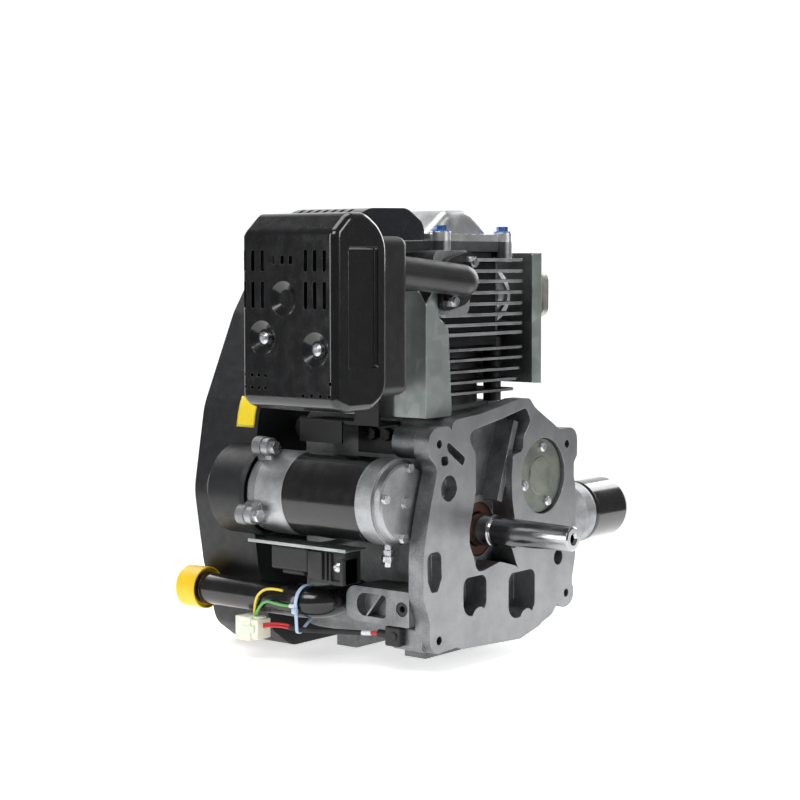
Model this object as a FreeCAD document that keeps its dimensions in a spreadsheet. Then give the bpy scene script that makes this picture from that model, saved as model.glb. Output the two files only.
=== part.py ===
"""Air-cooled single-cylinder gasoline engine, in millimetres.

The origin is on the crankshaft axis, at the face of the power take-off (PTO) flange.
+Z is up, the shaft points along -Y, the muffler is on -X and the carburettor on +X.
"""
import FreeCAD
import Part
import math
import os
from FreeCAD import Placement, Rotation, Vector
import Sketcher

DIMENSIONS = {
    # crank train
    "bore": 90,
    "stroke": 76,
    "rod_length": 122,
    "journal_radius": 17.5,
    "pin_radius": 19,
    "cylinder_y": 95,
    "deck_z": 187.5,
    "web_width": 16,
    "gear_module": 2,
    "crank_teeth": 24,
    "cam_x": 60,
    # power take-off shaft
    "shaft_reach": 86,
    "shaft_tip_radius": 11.9,
    "shaft_root_radius": 14.2,
    "shaft_land_radius": 16,
    "shaft_thread_radius": 4.25,
    # crankcase and cover
    "plate_depth": 18,
    "cover_depth": 45,
    "recess_depth": 30,
    "case_back": 182,
    "case_wall": 8,
    "base_z": -127,
    "left_holes_x": -98,
    "left_holes_gap": 186,
    "right_holes_x": 118,
    "right_holes_gap": 154,
    "flange_hole_radius": 4.25,
    "bearing_radius": 36,
    "bearing_width": 17,
    "seal_radius": 27,
    "pump_x": 75,
    "pump_z": 48,
    "pump_plate_radius": 38,
    # cylinder and head
    "liner_wall": 3,
    "fin_thickness": 2.4,
    "fin_front": 20,
    "fin_half_width": 75,
    "head_base_z": 189,
    "head_flange_z": 275,
    "cover_flange_z": 283,
    # exhaust
    "pipe_radius": 15,
    "pipe_y": -3.5,
    "exhaust_x": -53,
    "exhaust_z": 244.5,
    "muffler_left": -266,
    "muffler_right": -156,
    "muffler_front": -16,
    "muffler_back": 95,
    "muffler_low": 136,
    "muffler_high": 286,
    "guard_edge": -194,
    "guard_high": 306,
    # cooling
    "sheet": 1.5,
    "duct_front": 17,
    "duct_left": -97,
    "duct_right": 95,
    "housing_front": 208,
    "housing_back": 282,
    "housing_wall": 2.5,
    "hood_front": 40,
    # starter
    "starter_x": -124,
    "starter_z": 38.5,
    "starter_radius": 41,
    "starter_front": 20,
    "starter_tube_front": 48,
    "starter_tube_back": 139,
    # oil
    "filter_y": 34,
    "filter_z": -2,
    "filter_radius": 33,
    "filter_face": 179,
    "filter_end": 252,
    "filler_x": -143,
    "filler_z": -64,
    "filler_radius": 15.5,
    "filler_back": 262,
    # intake
    "intake_y": 85,
    "intake_z": 229,
    "intake_end": 176,
    # running clearance on a radius
    "running_gap": 0.05,
}

document = FreeCAD.newDocument("small_engine")
sub_parts = []


class Size:
    """A length that carries the sheet expression that it was worked out from."""

    def __init__(self, value, text):
        self.value = value
        self.text = text

    def join(self, sign, left, right):
        value = {
            "+": lambda: number(left) + number(right),
            "-": lambda: number(left) - number(right),
            "*": lambda: number(left) * number(right),
            "/": lambda: number(left) / number(right),
        }[sign]()
        return Size(value, f"({words(left)} {sign} {words(right)})")

    def __add__(self, other):
        return self.join("+", self, other)

    def __radd__(self, other):
        return self.join("+", other, self)

    def __sub__(self, other):
        return self.join("-", self, other)

    def __rsub__(self, other):
        return self.join("-", other, self)

    def __mul__(self, other):
        return self.join("*", self, other)

    def __rmul__(self, other):
        return self.join("*", other, self)

    def __truediv__(self, other):
        return self.join("/", self, other)

    def __neg__(self):
        return self.join("-", 0, self)


def number(size):
    return size.value if isinstance(size, Size) else float(size)


def words(size):
    return size.text if isinstance(size, Size) else f"({float(size):.6f})"


def make_sheet():
    sheet = document.addObject("Spreadsheet::Sheet", "dims")
    sizes = {}
    for row, (alias, value) in enumerate(DIMENSIONS.items(), start=1):
        sheet.set(f"A{row}", alias)
        sheet.set(f"B{row}", str(value))
        sheet.setAlias(f"B{row}", alias)
        sizes[alias] = Size(float(value), f"dims.{alias}")
    document.recompute()
    return sizes


sizes = make_sheet()


def get(alias):
    return sizes[alias]


# ---- building blocks -------------------------------------------------------

TURN = {
    "x": Rotation(Vector(0, 1, 0), 90),
    "y": Rotation(Vector(1, 0, 0), -90),
    "z": Rotation(),
}


def bind(thing, prop, size):
    """Set a property, and tie it to the sheet where its size came from there."""
    setattr(thing, prop, number(size))
    if isinstance(size, Size):
        thing.setExpression(prop, size.text)


def place(thing, point, rotation=None):
    thing.Placement = Placement(Vector(*[number(v) for v in point]), rotation or Rotation())
    for letter, size in zip("xyz", point):
        if isinstance(size, Size):
            thing.setExpression(f".Placement.Base.{letter}", size.text)
    return thing


def box(low, high):
    """A block between two corners."""
    block = document.addObject("Part::Box", "block")
    for prop, start, end in zip(("Length", "Width", "Height"), low, high):
        bind(block, prop, end - start)
    return place(block, low)


def rod(axis, start, radius, length):
    """A round bar along +axis from its start."""
    bar = document.addObject("Part::Cylinder", "rod")
    bind(bar, "Radius", radius)
    bind(bar, "Height", length)
    return place(bar, start, TURN[axis])


def cone(axis, start, first, second, length):
    solid = document.addObject("Part::Cone", "cone")
    bind(solid, "Radius1", first)
    bind(solid, "Radius2", second)
    bind(solid, "Height", length)
    return place(solid, start, TURN[axis])


def hexagon(axis, start, across, length):
    """A six-sided bar, by its width across the flats."""
    bar = document.addObject("Part::Prism", "hexagon")
    bar.Polygon = 6
    bind(bar, "Circumradius", across / math.sqrt(3))
    bind(bar, "Height", length)
    return place(bar, start, TURN[axis])


def fuse(*pieces):
    joined = document.addObject("Part::MultiFuse", "joined")
    joined.Shapes = list(pieces)
    joined.Refine = True
    return joined


def cut(base, *tools):
    hollowed = document.addObject("Part::Cut", "hollowed")
    hollowed.Base = base
    hollowed.Tool = tools[0] if len(tools) == 1 else fuse(*tools)
    hollowed.Refine = True
    return hollowed


def group(pieces):
    """Separate solids that share one node."""
    together = document.addObject("Part::Compound", "group")
    together.Links = list(pieces)
    return together


def rounded(base, radius, keep=None):
    """A fillet on the edges of a block, or on those that keep() picks."""
    document.recompute()
    softened = document.addObject("Part::Fillet", "rounded")
    softened.Base = base
    softened.Edges = [
        (index, radius, radius)
        for index, edge in enumerate(base.Shape.Edges, start=1)
        if keep is None or keep(edge)
    ]
    return softened


def along(axis):
    """Picks the straight edges that run along an axis."""
    index = "xyz".index(axis)

    def picks(edge):
        line = edge.Vertexes[-1].Point - edge.Vertexes[0].Point
        return line.Length > 1 and abs(abs(line[index]) - line.Length) < 1e-6

    return picks


def rounded_box(low, high, radius, axis=None):
    return rounded(box(low, high), radius, along(axis) if axis else None)


def origin_plane(body, role):
    return next(plane for plane in body.Origin.OriginFeatures if plane.Role == role)


def corner(before, point, after, radius):
    """The two tangent points and the middle of the arc that rounds a corner."""
    here = Vector(point[0], point[1], 0)
    first = (Vector(before[0], before[1], 0) - here).normalize()
    second = (Vector(after[0], after[1], 0) - here).normalize()
    half = math.acos(max(-1.0, min(1.0, first.dot(second)))) / 2
    reach = radius / math.tan(half)
    inward = (first + second).normalize()
    middle = here + inward * (radius / math.sin(half) - radius)
    return here + first * reach, middle, here + second * reach


def outline_edges(points):
    """Lines and tangent arcs round a list of corners (a, b, radius)."""
    points = [tuple(number(value) for value in point) for point in points]
    bends = []
    for index, point in enumerate(points):
        radius = point[2] if len(point) > 2 else 0
        before = points[index - 1]
        after = points[(index + 1) % len(points)]
        if radius:
            bends.append(corner(before, point, after, radius))
        else:
            here = Vector(point[0], point[1], 0)
            bends.append((here, None, here))
    edges = []
    for index, (start, middle, end) in enumerate(bends):
        if middle is not None:
            edges.append(Part.Arc(start, middle, end))
        following = bends[(index + 1) % len(bends)][0]
        if end.distanceToPoint(following) > 1e-4:
            edges.append(Part.LineSegment(end, following))
    return edges


def new_sketch(role):
    body = document.addObject("PartDesign::Body", "body")
    sketch = body.newObject("Sketcher::SketchObject", "profile")
    sketch.AttachmentSupport = (origin_plane(body, role), [""])
    sketch.MapMode = "FlatFace"
    return body, sketch


PLANES = {"x": "YZ_Plane", "y": "XZ_Plane", "z": "XY_Plane"}


def plate(axis, outline, start, length):
    """An outline padded along +axis; its corners are (a, b, radius) across that axis."""
    body, sketch = new_sketch(PLANES[axis])
    for edge in outline_edges(outline):
        sketch.addGeometry(edge, False)
    pad = body.newObject("PartDesign::Pad", "pad")
    pad.Profile = sketch
    pad.Reversed = axis == "y"
    bind(pad, "Length", length)
    place(body, {"x": (start, 0, 0), "y": (0, start, 0), "z": (0, 0, start)}[axis])
    return body


def turned(axis, center, profile):
    """A profile of (distance along the axis, radius) revolved about an axis."""
    body, sketch = new_sketch("XZ_Plane" if axis == "z" else "XY_Plane")
    flat = [(a, r) if axis == "x" else (r, a) for a, r in profile]
    corners = [Vector(number(u), number(v), 0) for u, v in flat]
    for start, end in zip(corners, corners[1:] + corners[:1]):
        sketch.addGeometry(Part.LineSegment(start, end), False)
    count = len(corners)
    for index in range(count):
        sketch.addConstraint(Sketcher.Constraint("Coincident", index, 2, (index + 1) % count, 1))
    for index, (across, up) in enumerate(flat):
        for kind, size in (("DistanceX", across), ("DistanceY", up)):
            if isinstance(size, Size) and abs(size.value) > 1e-6:
                added = sketch.addConstraint(
                    Sketcher.Constraint(kind, -1, 1, index, 1, size.value)
                )
                sketch.setExpression(f"Constraints[{added}]", size.text)
    spin = body.newObject("PartDesign::Revolution", "revolution")
    spin.Profile = sketch
    spin.ReferenceAxis = (sketch, ["H_Axis" if axis == "x" else "V_Axis"])
    spin.Angle = 360
    return place(body, center)


def inset(outline, wall):
    """A convex outline moved inwards by a wall, with its corners kept round."""
    moved = []
    for index, point in enumerate(outline):
        here = Vector(point[0], point[1], 0)
        before = outline[index - 1]
        after = outline[(index + 1) % len(outline)]
        first = (Vector(before[0], before[1], 0) - here).normalize()
        second = (Vector(after[0], after[1], 0) - here).normalize()
        half = math.acos(first.dot(second)) / 2
        shift = (first + second).normalize() * (wall / math.sin(half))
        moved.append((here.x + shift.x, here.y + shift.y, max(point[2] - wall, 1)))
    return moved


def tube(points, radius, bend):
    """A round bar that follows straight runs joined by arcs."""
    path = [Vector(*[number(v) for v in point]) for point in points]
    edges = []
    start = path[0]
    for before, here, after in zip(path, path[1:], path[2:]):
        first = (before - here).normalize()
        second = (after - here).normalize()
        half = math.acos(first.dot(second)) / 2
        reach = bend / math.tan(half)
        enter = here + first * reach
        leave = here + second * reach
        middle = here + (first + second).normalize() * (bend / math.sin(half) - bend)
        if start.distanceToPoint(enter) > 1e-6:
            edges.append(Part.LineSegment(start, enter).toShape())
        edges.append(Part.Arc(enter, middle, leave).toShape())
        start = leave
    edges.append(Part.LineSegment(start, path[-1]).toShape())
    ring = Part.Wire(Part.makeCircle(number(radius), path[0], path[1] - path[0]))
    solid = document.addObject("Part::Feature", "tube")
    solid.Shape = Part.Wire(edges).makePipeShell([ring], True, False)
    return solid


def around(axis, center, piece, turns):
    """Turns a piece about an axis through a centre, by an angle in degrees."""
    direction = {"x": Vector(1, 0, 0), "y": Vector(0, 1, 0), "z": Vector(0, 0, 1)}[axis]
    middle = Vector(*[number(v) for v in center])
    spin = Placement(Vector(), Rotation(direction, turns), middle)
    piece.Placement = spin.multiply(piece.Placement)
    return piece


def gear(center, teeth, module, bore, start, width, phase):
    """A spur gear about an axis along Y, with one tooth at the phase angle in degrees."""
    pitch = 2 * math.pi / teeth
    middle = module * teeth / 2
    outline = []
    for index in range(teeth):
        angle = math.radians(phase) + index * pitch
        for share, reach in ((-0.3, -1.25), (-0.13, 0.95), (0.13, 0.95), (0.3, -1.25)):
            radius = middle + reach * module
            turn = angle + share * pitch
            outline.append((radius * math.cos(turn), radius * math.sin(turn)))
    blank = plate("y", outline, 0, width)
    place(blank, (center[0], start, center[1]))
    return cut(blank, rod("y", (center[0], start - 1, center[1]), bore, width + 2))


def sub_part(label, thing):
    thing.Label = label
    sub_parts.append(thing)


def screws(axis, places, across, head, radius, shank):
    """Hexagon-head screws: the seat of each head is at its place, the shank follows +axis."""
    pieces = []
    for point in places:
        start = list(point)
        start["xyz".index(axis)] -= head
        pieces.append(fuse(hexagon(axis, start, across, head), rod(axis, point, radius, shank)))
    return pieces


# ---- crankcase, cover and cylinder -----------------------------------------

FLANGE = [
    (-114, 109, 15), (-114, 82, 8), (-100, 70, 10), (-112, 33, 40), (-122, -8, 40),
    (-122, -50, 30), (-112, -74, 8), (-112, -104.5, 13), (-81, -104.5, 5), (-57, -102, 20),
    (-8, -108, 40), (35, -112, 15), (70, -104, 15), (99, -84, 6), (112, -91.5, 6),
    (129, -91.5, 13), (129, -64, 8), (135, -40, 30), (135, 28, 40), (128, 54, 15),
    (137, 64, 6), (137, 93.6, 14), (104, 93.6, 6), (82, 104, 20), (59, 119, 10),
    (50, 128, 8), (33, 128, 10), (-50, 114.5, 30), (-66, 110, 8), (-74, 98, 4), (-83, 109, 8),
]
BELL = [
    (-53, 96, 8), (-41, 80, 6), (-40, 44, 12), (-50, 7, 12), (-50, -8, 12), (-41, -24, 8),
    (-50, -44, 10), (-30, -36, 12), (0, -30, 12), (30, -38, 12), (36, -50, 6), (30, -10, 12),
    (21, 30, 20), (20, 54, 8), (22, 73, 5), (39, 76, 5), (40, 90, 8), (53, 106, 6), (44, 119, 6),
    (0, 110, 20), (-44, 103, 8),
]
CASE = [
    (-79, 114, 12), (-79, -100, 14), (-60, -107, 10), (36, -112, 12), (92, -96, 20),
    (131, -56, 30), (131, 66, 25), (96, 98, 20), (54, 121, 14), (-30, 117, 10),
]
COVER_STUDS = [
    (-63, 103), (-68, -94), (20, -101), (79, -90), (121, 26), (107, 83), (61, 108),
]
COVER_STUD_RADIUS = 4
MOUNT_HOLES = [
    (get("left_holes_x"), get("left_holes_gap") / 2),
    (get("left_holes_x"), -get("left_holes_gap") / 2),
    (get("right_holes_x"), get("right_holes_gap") / 2),
    (get("right_holes_x"), -get("right_holes_gap") / 2),
]
CAM_REACH = get("gear_module") * get("crank_teeth") * 1.5
cam_z = Size(
    math.sqrt(CAM_REACH.value ** 2 - get("cam_x").value ** 2),
    f"sqrt({CAM_REACH.text} ^ 2 - dims.cam_x ^ 2)",
)
CAM_ANGLE = math.degrees(math.atan2(cam_z.value, get("cam_x").value))
seal_front = get("recess_depth") - 2
bearing_front = get("recess_depth") + 6
PUMP_SCREWS = [(78, 77), (46, 40), (87, 21)]


def crankcase_cover():
    depth = get("cover_depth")
    walls = fuse(
        plate("y", FLANGE, 0, get("plate_depth")),
        plate("y", CASE, 0, depth),
        rod("y", (MOUNT_HOLES[0][0], 0, MOUNT_HOLES[0][1]), 15.5, depth),
        rod("y", (MOUNT_HOLES[1][0], 0, MOUNT_HOLES[1][1]), 12.5, depth),
        rounded_box((-112, 10, -104), (-86, depth, -80.6), 4, "y"),
        rod("y", (MOUNT_HOLES[2][0], 0, MOUNT_HOLES[2][1]), 15, depth),
        rod("y", (MOUNT_HOLES[3][0], 0, MOUNT_HOLES[3][1]), 14, depth),
        rod("x", (124, get("filter_y") - 10, get("filter_z")), 20, 12),
    )
    hollow = cut(
        walls,
        plate("y", inset(CASE, 8), bearing_front, 20),
        plate("y", BELL, -1, get("recess_depth") + 1),
        scalloped_pocket(-41, -58, 19),
        scalloped_pocket(38, -67, 23),
    )
    inner = fuse(
        hollow,
        rod("y", (0, 26, 0), 34, bearing_front - 26),
        rod("y", (0, get("recess_depth"), 0), 44, bearing_front + 17.5 - get("recess_depth")),
        rod("y", (get("cam_x"), 20, cam_z), 17, 32.5),
        around("y", (0, 0, 0), box((-4, 8, 30), (4, get("recess_depth"), 112)), 20),
        *[rod("y", (x, bearing_front, z), 9, depth - bearing_front) for x, z in COVER_STUDS],
    )
    tools = [
        rod("y", (0, 20, 0), get("seal_radius"), bearing_front - 20),
        rod("y", (0, bearing_front, 0), get("bearing_radius"), 20),
        rod("y", (get("cam_x"), 20, cam_z), 10, 40),
        rod("y", (get("pump_x"), -1, get("pump_z")), get("pump_plate_radius") + 0.5, 9.5),
        plate("y", [(-90, 98, 3), (-57, 77, 3), (-61, 69, 3), (-84, 84, 3)], -1, 15),
        plate("y", [(-97, 81, 3), (-85, 81, 3), (-83, 72, 3), (-94, 72, 3)], -1, 9),
        rod("y", (-83, -1, 50), 12.5, 14),
        plate("y", [(-117, -8, 8), (-95, -8, 8), (-94, -34, 8), (-100, -46, 4), (-110, -46, 4),
                    (-116, -34, 8)], -1, 13),
        rod("y", (103, -1, -38), 8, 13),
        rod("x", (100, get("filter_y"), get("filter_z")), 5, 60),
    ]
    tools += [rod("y", (x, -1, z), get("flange_hole_radius"), depth + 2) for x, z in MOUNT_HOLES]
    tools += [rod("y", (x, 20, z), COVER_STUD_RADIUS, depth - 18) for x, z in COVER_STUDS]
    tools += [rod("y", (x, 8, z), 2.5, 10) for x, z in PUMP_SCREWS]
    sub_part("crankcase_cover", cut(inner, *tools))


def scalloped_pocket(x, z, radius):
    """A deep pocket whose floor bows round a boss below."""
    return cut(
        plate("y", [(x - radius, z + radius, 9), (x + radius, z + radius, 9),
                    (x + radius, z - radius, 14), (x - radius, z - radius, 14)],
              -1, get("recess_depth") - 3),
        rod("y", (x + radius * 0.4, -2, z - radius - 5), 12, get("recess_depth")),
    )


def cover_fasteners():
    """Blind studs between cover and block, and the three screws of the pump cover."""
    studs = [rod("y", (x, 21, z), COVER_STUD_RADIUS - 0.05, 46) for x, z in COVER_STUDS]
    plate_screws = [
        fuse(
            turned("y", (x, 4, z), [(-3.5, 0), (-3.5, 3.5), (-2, 5), (0, 5), (0, 0)]),
            rod("y", (x, 4, z), 2.45, 12),
        )
        for x, z in PUMP_SCREWS
    ]
    return studs + plate_screws


def pump_cover():
    radius = get("pump_plate_radius")
    disc = turned(
        "y", (get("pump_x"), 4, get("pump_z")),
        [(0, 0), (0, radius - 1), (1, radius), (4.5, radius), (4.5, 0)],
    )
    step = rod("y", (get("pump_x"), 2.8, get("pump_z")), 19, 2)
    holes = [rod("y", (x, 2, z), 2.5, 8) for x, z in PUMP_SCREWS]
    sub_part("oil_pump_cover", cut(fuse(disc, step), *holes))


FIN_LEVELS = [(178, 75), (168, 75), (157, 70), (146.5, 65), (136, 60)]
HEAD_FINS = [265, 254, 244, 233, 222, 211.5, 202, 193]
FIN_BACK = 170
HEAD_BOLTS = [(-50, 46), (50, 46), (-50, 144), (50, 144)]
HEAD_BOLT_RADIUS = 5


def fin(level, half_width, thickness, front=None):
    near = number(front if front is not None else get("fin_front"))
    return plate(
        "z",
        [(-half_width, near, 14), (half_width, near, 14),
         (half_width, FIN_BACK, 14), (-half_width, FIN_BACK, 14)],
        level - thickness / 2, thickness,
    )


def cylinder_block():
    depth = get("case_back") - get("cover_depth")
    axis_y = get("cylinder_y")
    deck = get("deck_z")
    liner = get("bore") / 2 + get("liner_wall")
    solid = fuse(
        plate("y", CASE, get("cover_depth"), depth),
        box((-60, 46, 108), (58, 150, 124)),
        rod("z", (0, axis_y, 108), 54, deck - 108),
        plate("z", [(-61, 38, 14), (61, 38, 14), (61, 152, 14), (-61, 152, 14)], deck - 7, 7),
        *[fin(level, half, get("fin_thickness")) for level, half in FIN_LEVELS],
        *[rod("z", (x, y, 112), 9, deck - 112) for x, y in HEAD_BOLTS],
        box((-44, 58, get("base_z")), (60, 84, -104)),
        box((-44, 146, get("base_z")), (60, 172, -104)),
        foot_bar(),
        rod("y", (get("starter_x"), 174, get("starter_z")), 40, 10),
        box((-100, 174, 6), (-75, 184, 74)),
        *[rod("y", (x, 174, z), 10, 10) for x, z in STARTER_EARS],
        *[
            plate("y", [(x - 2, z - 8, 3), (x + 2, z + 8, 3), (-120, 66, 3), (-126, 12, 3)], 174, 10)
            for x, z in STARTER_EARS
        ],
        *[rod("y", (x, 170, z), 11, 35.5) for x, z in BACKPLATE_BOLTS],
    )
    cavity = fuse(
        plate("y", inset(CASE, 8), get("cover_depth") - 1, depth - 7),
        rod("z", (0, axis_y, 96), liner, deck - 90),
    )
    inner = fuse(
        cut(solid, cavity),
        rod("y", (0, 152, 0), 44, get("case_back") - 152),
        rod("y", (get("cam_x"), 158, cam_z), 16, 24),
        *[rod("y", (x, get("cover_depth"), z), 9, 34) for x, z in COVER_STUDS],
    )
    tools = [
        rod("y", (0, 150, 0), get("bearing_radius"), 9 + get("bearing_width")),
        rod("y", (0, 170, 0), get("seal_radius"), 14),
        rod("y", (get("cam_x"), 150, cam_z), 10, 24),
        rod("y", (get("starter_x"), 168, get("starter_z")), 34, 30),
        rod("x", (-130, 27, -63), 7, 22),
        box((-60, 35, 100), (60, get("cover_depth"), 124)),
    ]
    tools += [rod("y", (x, 40, z), COVER_STUD_RADIUS, 28) for x, z in COVER_STUDS]
    tools += [rod("z", (x, y, 128), HEAD_BOLT_RADIUS, 70) for x, y in HEAD_BOLTS]
    tools += [rod("x", (-80, y, 97), 4, 10) for y in BRACKET_SCREWS]
    tools += [rod("y", (x, 166, z), 3, 26) for x, z in STARTER_EARS]
    tools += [rod("y", (x, 190, z), 3, 20) for x, z in BACKPLATE_BOLTS]
    sub_part("cylinder_block", cut(inner, *tools))


def foot_bar():
    """The mounting bar along the left side, with a cast pocket in its face."""
    bar = plate("x", [(18.4, -46, 2), (95, -46, 12), (95, -80, 12), (18.4, -80, 2)], -121, 41.7)
    root = box((-79.5, 46, -78), (-71, 86, -48))
    pocket = plate("x", [(46, -52, 4), (82, -52, 10), (82, -74, 10), (46, -74, 4)], -122, 14)
    rib = around("x", (-115, 62, -63), box((-120, 61, -80), (-108, 63, -46)), 38)
    return fuse(cut(bar, pocket), rib, root)


BRACKET_SCREWS = (74, 92)
BACKPLATE_BOLTS = [(-62, -76), (84, -62), (-58, 96), (112, 52)]
STARTER_EARS = [(-172, 20), (-148, 84)]


def liner_and_gasket():
    radius = get("bore") / 2
    axis_y = get("cylinder_y")
    outer = radius + get("liner_wall")
    sub_part(
        "cylinder_liner",
        turned("z", (0, axis_y, 96), [
            (0, radius), (0, outer), (get("deck_z") - 96, outer), (get("deck_z") - 96, radius),
        ]),
    )
    sheet = plate(
        "z", [(-61, 38, 14), (61, 38, 14), (61, 152, 14), (-61, 152, 14)],
        get("deck_z"), get("head_base_z") - get("deck_z"),
    )
    holes = [rod("z", (x, y, 180), HEAD_BOLT_RADIUS, 20) for x, y in HEAD_BOLTS]
    holes.append(rod("z", (0, axis_y, 180), radius + 1, 20))
    sub_part("head_gasket", cut(sheet, *holes))


EXHAUST_STUDS = [(-37.5, 263), (-68.5, 226)]
ROCKER_BOLTS = [(-51, 35), (51, 35), (-51, 155), (51, 155)]
PLUG_Y = 126
PLUG_Z = 226


def cylinder_head():
    base = get("head_base_z")
    top = get("head_flange_z")
    flange = get("cover_flange_z")
    axis_y = get("cylinder_y")
    solid = fuse(
        rounded_box((-56, 40, base), (56, 150, top), 12, "z"),
        *[fin(level, 75, 3) for level in HEAD_FINS],
        plate("z", HEAD_TOP, top - 2, flange - top + 2),
        rounded_box((-82, 20, 212), (-24, 60, 274), 10, "y"),
        rod("x", (50, get("intake_y"), get("intake_z")), 27, 27),
        *[rod("z", (x, y, top - 12), 10, flange - top + 12) for x, y in ROCKER_BOLTS],
    )
    tools = [
        cone("z", (0, axis_y, base - 1), 44, 34, 12),
        box((-40, 52, 248), (44, 138, 300)),
        tube([(-18, 95, 214), (-40, 70, 236), (get("exhaust_x"), 40, get("exhaust_z")),
              (get("exhaust_x"), 16, get("exhaust_z"))], 11, 12),
        tube([(16, 95, 210), (44, 88, 228), (90, get("intake_y"), get("intake_z"))], 12, 16),
        rod("x", (30, PLUG_Y, PLUG_Z), 7, 60),
        rod("x", (46, PLUG_Y, PLUG_Z), 12.4, 60),
    ]
    tools += [rod("z", (x, y, 180), HEAD_BOLT_RADIUS, 110) for x, y in HEAD_BOLTS]
    tools += [rod("z", (x, y, flange - 8), 7.4, 20) for x, y in HEAD_BOLTS]
    tools += [rod("z", (x, y, 262), 3, 30) for x, y in ROCKER_BOLTS]
    tools += [rod("y", (x, 16, z), 4, 28) for x, z in EXHAUST_STUDS]
    sub_part("cylinder_head", cut(solid, *tools))


HEAD_TOP = [(-62, 33, 8), (64, 33, 8), (64, 157, 8), (-62, 157, 8)]


def rocker_cover():
    flange = get("cover_flange_z")
    low = number(flange)
    section = [(-56, low, 0), (-56, 291, 4), (-24, 313, 18), (14, 314, 30), (44, 294, 14),
               (44, low, 0)]
    hollow = [(x * 0.94, z - 3 if z > low + 1 else low - 1, r) for x, z, r in section]
    rim = plate("z", HEAD_TOP, flange, 7)
    dome = rounded(plate("y", section, 45.5, 99), 9, across_top)
    bosses = [rod("z", (x, y, flange), 10, 9) for x, y in ROCKER_BOLTS]
    solid = fuse(rim, dome, *bosses)
    tools = [plate("y", hollow, 50, 90)]
    tools += [rod("z", (x, y, flange - 1), 3, 20) for x, y in ROCKER_BOLTS]
    sub_part("rocker_cover", cut(solid, *tools))


def across_top(edge):
    """Edges of a ridge's two ends that lie above its foot."""
    box_of = edge.BoundBox
    return box_of.YLength < 1e-6 and box_of.ZMin > 290.5


def head_fasteners():
    flange = get("cover_flange_z")
    bolts = []
    for x, y in ROCKER_BOLTS:
        bolts.append(fuse(
            hexagon("z", (x, y, flange + 9), 10, 6),
            rod("z", (x, y, flange + 9), 8.5, 1.2),
            rod("z", (x, y, flange - 14), 2.95, 24),
        ))
    sub_part("rocker_cover_bolts", group(bolts))
    long_bolts = []
    for x, y in HEAD_BOLTS:
        long_bolts.append(fuse(
            hexagon("z", (x, y, flange - 8), 12, 7),
            rod("z", (x, y, 130), HEAD_BOLT_RADIUS - 0.05, flange - 138),
        ))
    return long_bolts


# ---- crank train -----------------------------------------------------------

WEB = [
    (-21, 60, 18), (21, 60, 18), (29, 8, 6), (56, 2, 6), (48, -36, 20), (23, -56, 20),
    (-23, -56, 20), (-48, -36, 20), (-56, 2, 6), (-29, 8, 6),
]
GEAR_FRONT = 56
GEAR_WIDTH = 9.5


def crankshaft():
    land = get("shaft_land_radius")
    journal = get("journal_radius") - get("running_gap")
    throw = get("stroke") / 2
    web = get("web_width")
    first_web = get("cylinder_y") - 13 - web
    second_web = get("cylinder_y") + 13
    reach = get("shaft_reach")
    front = turned("y", (0, 0, 0), [
        (-reach, 0), (-reach, get("shaft_tip_radius") - 1.5),
        (-reach + 1.5, get("shaft_tip_radius")),
        (3, get("shaft_root_radius")), (5, land - 1), (6, land),
        (bearing_front, land), (bearing_front, journal), (first_web, journal), (first_web, 0),
    ])
    back = turned("y", (0, 0, 0), [
        (second_web + web, 0), (second_web + web, 24), (151, 24), (151, journal), (200, journal),
        (202, 15), (238, 12.5), (238, 10), (262, 10), (262, 0),
    ])
    solid = fuse(
        front,
        back,
        plate("y", WEB, first_web, web),
        plate("y", WEB, second_web, web),
        rod("y", (0, first_web + web - 1, throw), get("pin_radius"), 28),
    )
    thread = rod("y", (0, -reach - 1, 0), get("shaft_thread_radius"), 31)
    mouth = cone("y", (0, -reach - 0.5, 0), 6.5, get("shaft_thread_radius"), 3)
    sub_part("crankshaft", cut(solid, thread, mouth))


def gears():
    sub_part("crank_gear", gear(
        (0, 0), DIMENSIONS["crank_teeth"], DIMENSIONS["gear_module"],
        get("journal_radius") - get("running_gap"), GEAR_FRONT, GEAR_WIDTH, CAM_ANGLE,
    ))
    teeth = DIMENSIONS["crank_teeth"] * 2
    sub_part("cam_gear", gear(
        (get("cam_x"), cam_z), teeth, DIMENSIONS["gear_module"],
        11, GEAR_FRONT, GEAR_WIDTH, CAM_ANGLE + 180 + 180 / teeth,
    ))


def cam_lobe(start, angle):
    """A round base with its nose drawn out to one side."""
    lobe = fuse(
        rod("y", (get("cam_x"), start, cam_z), 10.5, 10),
        around("y", (get("cam_x"), start, cam_z),
               rod("y", (get("cam_x"), start, cam_z + 7), 7, 10), angle),
    )
    return lobe


def camshaft():
    journal = 10 - get("running_gap")
    shaft = turned("y", (get("cam_x"), 0, cam_z), [
        (21.5, 0), (21.5, journal), (54, journal), (54, 11), (GEAR_FRONT + GEAR_WIDTH, 11),
        (GEAR_FRONT + GEAR_WIDTH, 9), (156, 9), (156, journal), (173, journal), (173, 0),
    ])
    sub_part("camshaft", fuse(shaft, cam_lobe(127, 100), cam_lobe(140, 210)))


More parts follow.
